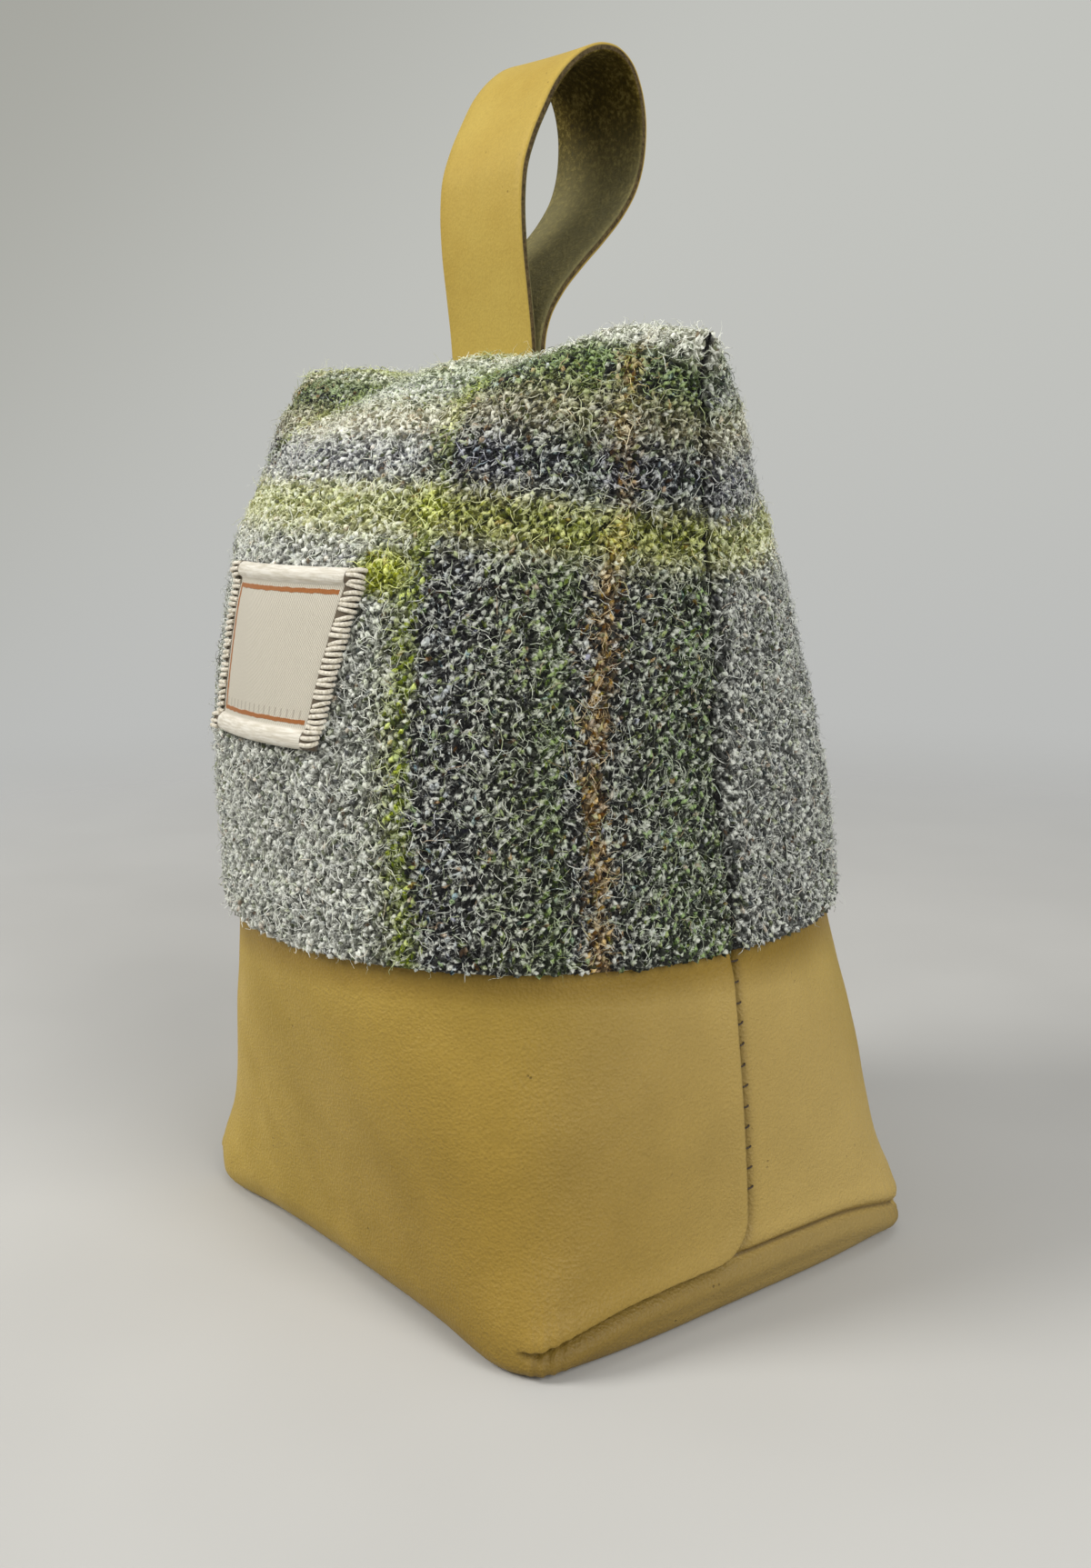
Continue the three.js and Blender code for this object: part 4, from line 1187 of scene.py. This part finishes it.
# %% Russet frame, weave and edges of the patch
uneven = wire.node("ShaderNodeTexNoise", {"Vector": spot, "Scale": 700.0}).outputs[1]
uneven = wire.split(wire.scaled(uneven, 0.5))
x_worn, y_worn = [wire.plus(wire.minus(k, 0.25), uneven[n]) for n, k in enumerate((x, y))]
inside_x = wire.times(wire.below(x, 16.3), wire.above(x, -17.2))
inside_y = wire.times(wire.above(y, 4.9), wire.below(y, LABEL_HEIGHT - 4.2))
across_lines = wire.most(line_mask(y_worn, 5.3, 0.9), line_mask(y_worn, LABEL_HEIGHT - 4.6, 0.9))
upright_lines = wire.times(inside_y, line_mask(x_worn, -16.7, 0.9))
russet = wire.most(wire.times(inside_x, across_lines), upright_lines)
color = wire.blend(russet, color, tint("96560c"))
ticks = wire.smooth(wave(x, 2.0), 0.55, 0.9)
ticks = wire.times(ticks, wire.times(inside_x, line_mask(y, 6.7, 1.7)))
color = wire.blend(wire.times(ticks, 0.5), color, tint("85796a"))
# Painted shade in the gaps under the overlocked loops along both side edges.
bound = wire.most(wire.smooth(x, 16.9, 17.2), wire.smooth(x, -17.7, -18.0))
color = wire.blend(bound, color, tint("5c4f3c"))
join(wire, color, surface, "Base Color")
weave = wire.plus(wire.times(fine, wire.minus(1.0, borders)), wire.times(rib, borders))
weave = wire.plus(weave, wire.times(russet, 3.0))
join(wire, wire.bump(0.5, 0.00012, weave), surface, "Normal")
points = np.concatenate([top.reshape(-1, 3), under.reshape(-1, 3)])
patch = make_object("woven_patch", points, shell_faces(*U.shape), patch_cloth)
uv_values(patch, np.concatenate([np.stack([U, V], -1).reshape(-1, 2)] * 2))
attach(patch, "root")
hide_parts("woven_label")
print("patch", triangles(patch), "triangles")

# %% [markdown]
# ## Threads
# Two kinds of thread show on the outside. The patch's side edges are bound with a row of overlocked
# loops. The leather's upright seams are closed by hand with dark thread, and what shows is a short tick
# at every stitch, from the cut edge down into the groove. Both are one bent thread, set by Geometry
# Nodes at every step of a line, each leaning a little differently, so one function builds both trees.


# %% Trees of the threads
def thread_tree(name, pitch, reach, radius, bends, bow, lean, spread):
    """Each point of the bow is a share of the reach, then metres along the line and off the cloth."""
    wire, given, result = geometry_tree(name, [
        ("Pitch", "Float", pitch), ("Reach", "Float", reach), ("Thread radius", "Float", radius),
        ("Seed", "Int", 1), ("Finish", "Material", None),
    ])
    line = wire.node("GeometryNodeMeshToCurve", {0: given["Geometry"]}).outputs[0]
    steps = wire.node("GeometryNodeCurveToPoints", {0: line, 2: given["Pitch"]}, mode="LENGTH")
    turned = wire.node(
        "FunctionNodeAxesToRotation", {0: named(wire, "off_cloth"), 1: named(wire, "off_edge")},
        primary_axis="Z", secondary_axis="X",
    ).outputs[0]
    tilt = random_value(wire, tuple(-angle for angle in lean), lean, given["Seed"], True)
    tilt = wire.node("FunctionNodeEulerToRotation", {0: tilt}).outputs[0]
    turned = wire.node(
        "FunctionNodeRotateRotation", {0: turned, 1: tilt}, rotation_space="LOCAL"
    ).outputs[0]
    corners = {
        k + 1: wire.joined(wire.times(given["Reach"], share), along, off)
        for k, (share, along, off) in enumerate(bow)
    }
    bent = wire.node("GeometryNodeCurveQuadraticBezier", {0: bends, **corners}).outputs[0]
    section = wire.node("GeometryNodeCurvePrimitiveCircle", {0: 6, 4: given["Thread radius"]}).outputs[0]
    thread = wire.node("GeometryNodeCurveToMesh", {0: bent, 1: section, 3: True}).outputs[0]
    size = random_value(wire, 1 - spread, 1 + spread, given["Seed"])
    made = wire.node("GeometryNodeInstanceOnPoints", {
        0: steps.outputs[0], 2: thread, 5: turned, 6: size,
    }).outputs[0]
    return finish_tree(wire, made, given, result)


def edge_guide(points, off_cloth, off_edge):
    """A bare line of points, which knows two directions: off the cloth and off its edge."""
    links = [(k, k + 1) for k in range(len(points) - 1)]
    guide = make_object("guide", points, [], edges=links)
    point_values(guide, "off_cloth", off_cloth)
    point_values(guide, "off_edge", np.tile(off_edge, (len(points), 1)))
    return guide


# %% Overlocked edges of the patch
overlock_tree = thread_tree(
    "overlock", 0.00125, 0.0042, 0.00047, 9,
    [(-0.8, 0.0, 0.0003), (0.3, 0.0003, 0.0024), (0.12, 0.0006, -0.0009)], (0.1, 0.12, 0.22), 0.06,
)
bind_thread, wire, surface = material("bind_thread", 0.6, Sheen_Weight=0.3)
strands = wire.noise(object_place(wire), 1800.0, 2.0)
color = wire.blend(wire.smooth(strands, 0.3, 0.7), tint("b9b09a"), tint("e4ddcd"))
join(wire, color, surface, "Base Color")
join(wire, wire.bump(0.5, 0.0001, strands), surface, "Normal")
for name, u, sign, reach in (("right", 1.0, 1, 0.0034), ("left", 0.0, -1, 0.0027)):
    v = np.linspace(0.03, 0.97, 60)
    spots, normals = patch_place(u + 0 * v, v, 0.95 + 0.9 * patch_roll(v))
    guide = edge_guide(spots, normals, [float(sign), 0, 0])
    binding = grown("patch_binding_" + name, guide, overlock_tree, Seed=5 + sign, Reach=reach,
                    Finish=bind_thread)
    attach(binding, "root")
    bpy.data.objects.remove(guide)

# %% Side stitches
stitch_tree = thread_tree(
    "side_stitches", 0.0044, 0.0030, 0.0002, 8,
    [(-0.5, 0.0, -0.0005), (0.0, 0.0, 0.0009), (0.5, 0.0, -0.0005)], (0.1, 0.2, 0.12), 0.0,
)
stitch_thread, wire, surface = material("stitch_thread", 0.75)
turns = wire.noise(object_place(wire), 2400.0, 2.0)
join(wire, wire.ramp(turns, [(0.3, tint("1d1712")), (0.7, tint("4a3b2c"))]), surface, "Base Color")
join(wire, wire.bump(0.5, 0.0001, turns), surface, "Normal")
for name, turn in (("right", 0.0), ("left", 2.0)):
    ats = [skin(np.array([turn]), z, SHRINK) for z in np.linspace(HEM - 3, HEM - 53, 40)]
    out = np.array([at.normal[0] for at in ats])
    spots = np.array([at.point[0] for at in ats]) - out * 0.2 + [0, 1.2, 0]
    guide = edge_guide(spots, out, [0.0, 1.0, 0.0])
    ticks = grown("side_stitches_" + name, guide, stitch_tree, Seed=7, Finish=stitch_thread)
    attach(ticks, "root")
    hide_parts("seam_thread_" + name)
    bpy.data.objects.remove(guide)

# %% [markdown]
# ## Inner bag
# The heavy fill is in a sealed cotton bag that only shows if the cover is opened. Its solid stays as it
# is, with a plain cotton weave.

# %% Inner bag
bag_cotton, wire, surface = material("bag_cotton", 0.9, Sheen_Weight=0.2)
spot = object_place(wire)
warp, weft = [
    wire.node(
        "ShaderNodeTexWave", {"Vector": spot, "Scale": 320.0, "Distortion": 1.0}, bands_direction=way
    ).outputs[1]
    for way in ("X", "Z")
]
weave = wire.most(warp, weft)
join(wire, wire.blend(weave, tint("b9b3a4"), tint("dcd8cd")), surface, "Base Color")
join(wire, wire.bump(0.5, 0.0003, weave), surface, "Normal")
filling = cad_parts["filling_bag"]
filling.data.materials.clear()
filling.data.materials.append(bag_cotton)

# %% [markdown]
# ## Floor and light
# A plain pale floor that fades into a pale background, darkened towards the upper left as painted shade,
# a soft lamp like a window on the left, a broad one on the right, another overhead, and an even sky.

# %% Floor
FLOOR_HALF = 2000
FLOOR_LEVEL = -0.05        # a hair below the base, so that the two faces don't fight
floor_finish, wire, surface = material("floor", 0.9)
spot = object_place(wire)
paper = wire.blend(wire.smooth(wire.noise(spot, 9.0, 2.0), 0.3, 0.7), tint("b8b7b3"), tint("bdbcb8"))
join(wire, paper, surface, "Base Color")
far = wire.smooth(wire.vector("LENGTH", spot), 0.25, 0.8)
clear = wire.node("ShaderNodeBsdfTransparent")
mixed = wire.node("ShaderNodeMixShader", {0: far, 1: surface.outputs[0], 2: clear.outputs[0]})
wire.send(floor_finish.node_tree.nodes["Material Output"].inputs, mixed.outputs[0])
corners = [[x * FLOOR_HALF, y * FLOOR_HALF, FLOOR_LEVEL] for x, y in ((-1, -1), (1, -1), (1, 1), (-1, 1))]
floor = make_object("floor", corners, [[0, 1, 2, 3]], floor_finish)
floor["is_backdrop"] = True


# %% Lights
LAMP_AIM = (0, 0, 0.1)


def lamp(name, stand, size, power, color=(1.0, 1.0, 1.0)):
    data = bpy.data.lights.new(name, "AREA")
    data.shape = "DISK"
    data.size, data.energy, data.color = size, power, color
    made = bpy.data.objects.new(name, data)
    made.location = stand
    made.rotation_euler = (Vector(LAMP_AIM) - Vector(stand)).to_track_quat("-Z", "Y").to_euler()
    bpy.context.scene.collection.objects.link(made)


lamp("window_lamp", (-0.52, -1.04, 0.9), 0.6, 15.2, (1.0, 0.99, 0.97))
lamp("ceiling_lamp", (-0.05, -0.05, 1.35), 0.9, 2.5)
lamp("room_lamp", (1.15, -0.1, 0.8), 0.9, 12.5)

world = bpy.data.worlds.new("studio")
world.use_nodes = True
bpy.context.scene.world = world
wire = Wiring(world.node_tree)
sky = world.node_tree.nodes["Background"]
sky.inputs[0].default_value = (0.98, 0.98, 0.97, 1)
sky.inputs[1].default_value = 0.33
way = wire.node("ShaderNodeTexCoord").outputs["Generated"]
aside = wire.vector("DOT_PRODUCT", way, (-0.44, -0.55, 0.71))
level = wire.split(way)[2]
# Towards the upper left the background darkens: painted shade, as the light falls off across the backdrop.
wall = wire.blend(wire.smooth(level, -0.3, 0.2), tint("babbba"), tint("c2c3be"))
wall = wire.blend(wire.smooth(aside, 0.05, 0.42), wall, tint("a5a59e"))
seen = wire.node("ShaderNodeBackground", {0: wall, 1: 1.0})
rays = wire.node("ShaderNodeLightPath").outputs
direct = wire.most(wire.most(rays["Is Camera Ray"], rays["Is Transmission Ray"]), rays["Is Glossy Ray"])
mixed = wire.node("ShaderNodeMixShader", {0: direct, 1: sky.outputs[0], 2: seen.outputs[0]})
wire.send(world.node_tree.nodes["World Output"].inputs, mixed.outputs[0])

bpy.context.scene.view_settings.view_transform = "Standard"

# %% [markdown]
# ## Bounds
# The two boxes, of the solids and of the dressed part, are printed.

# %% Bounds
looks_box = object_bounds()
sizes = {"solids": [list(corner) for corner in solid_box], "looks": [list(corner) for corner in looks_box]}
print(sizes)
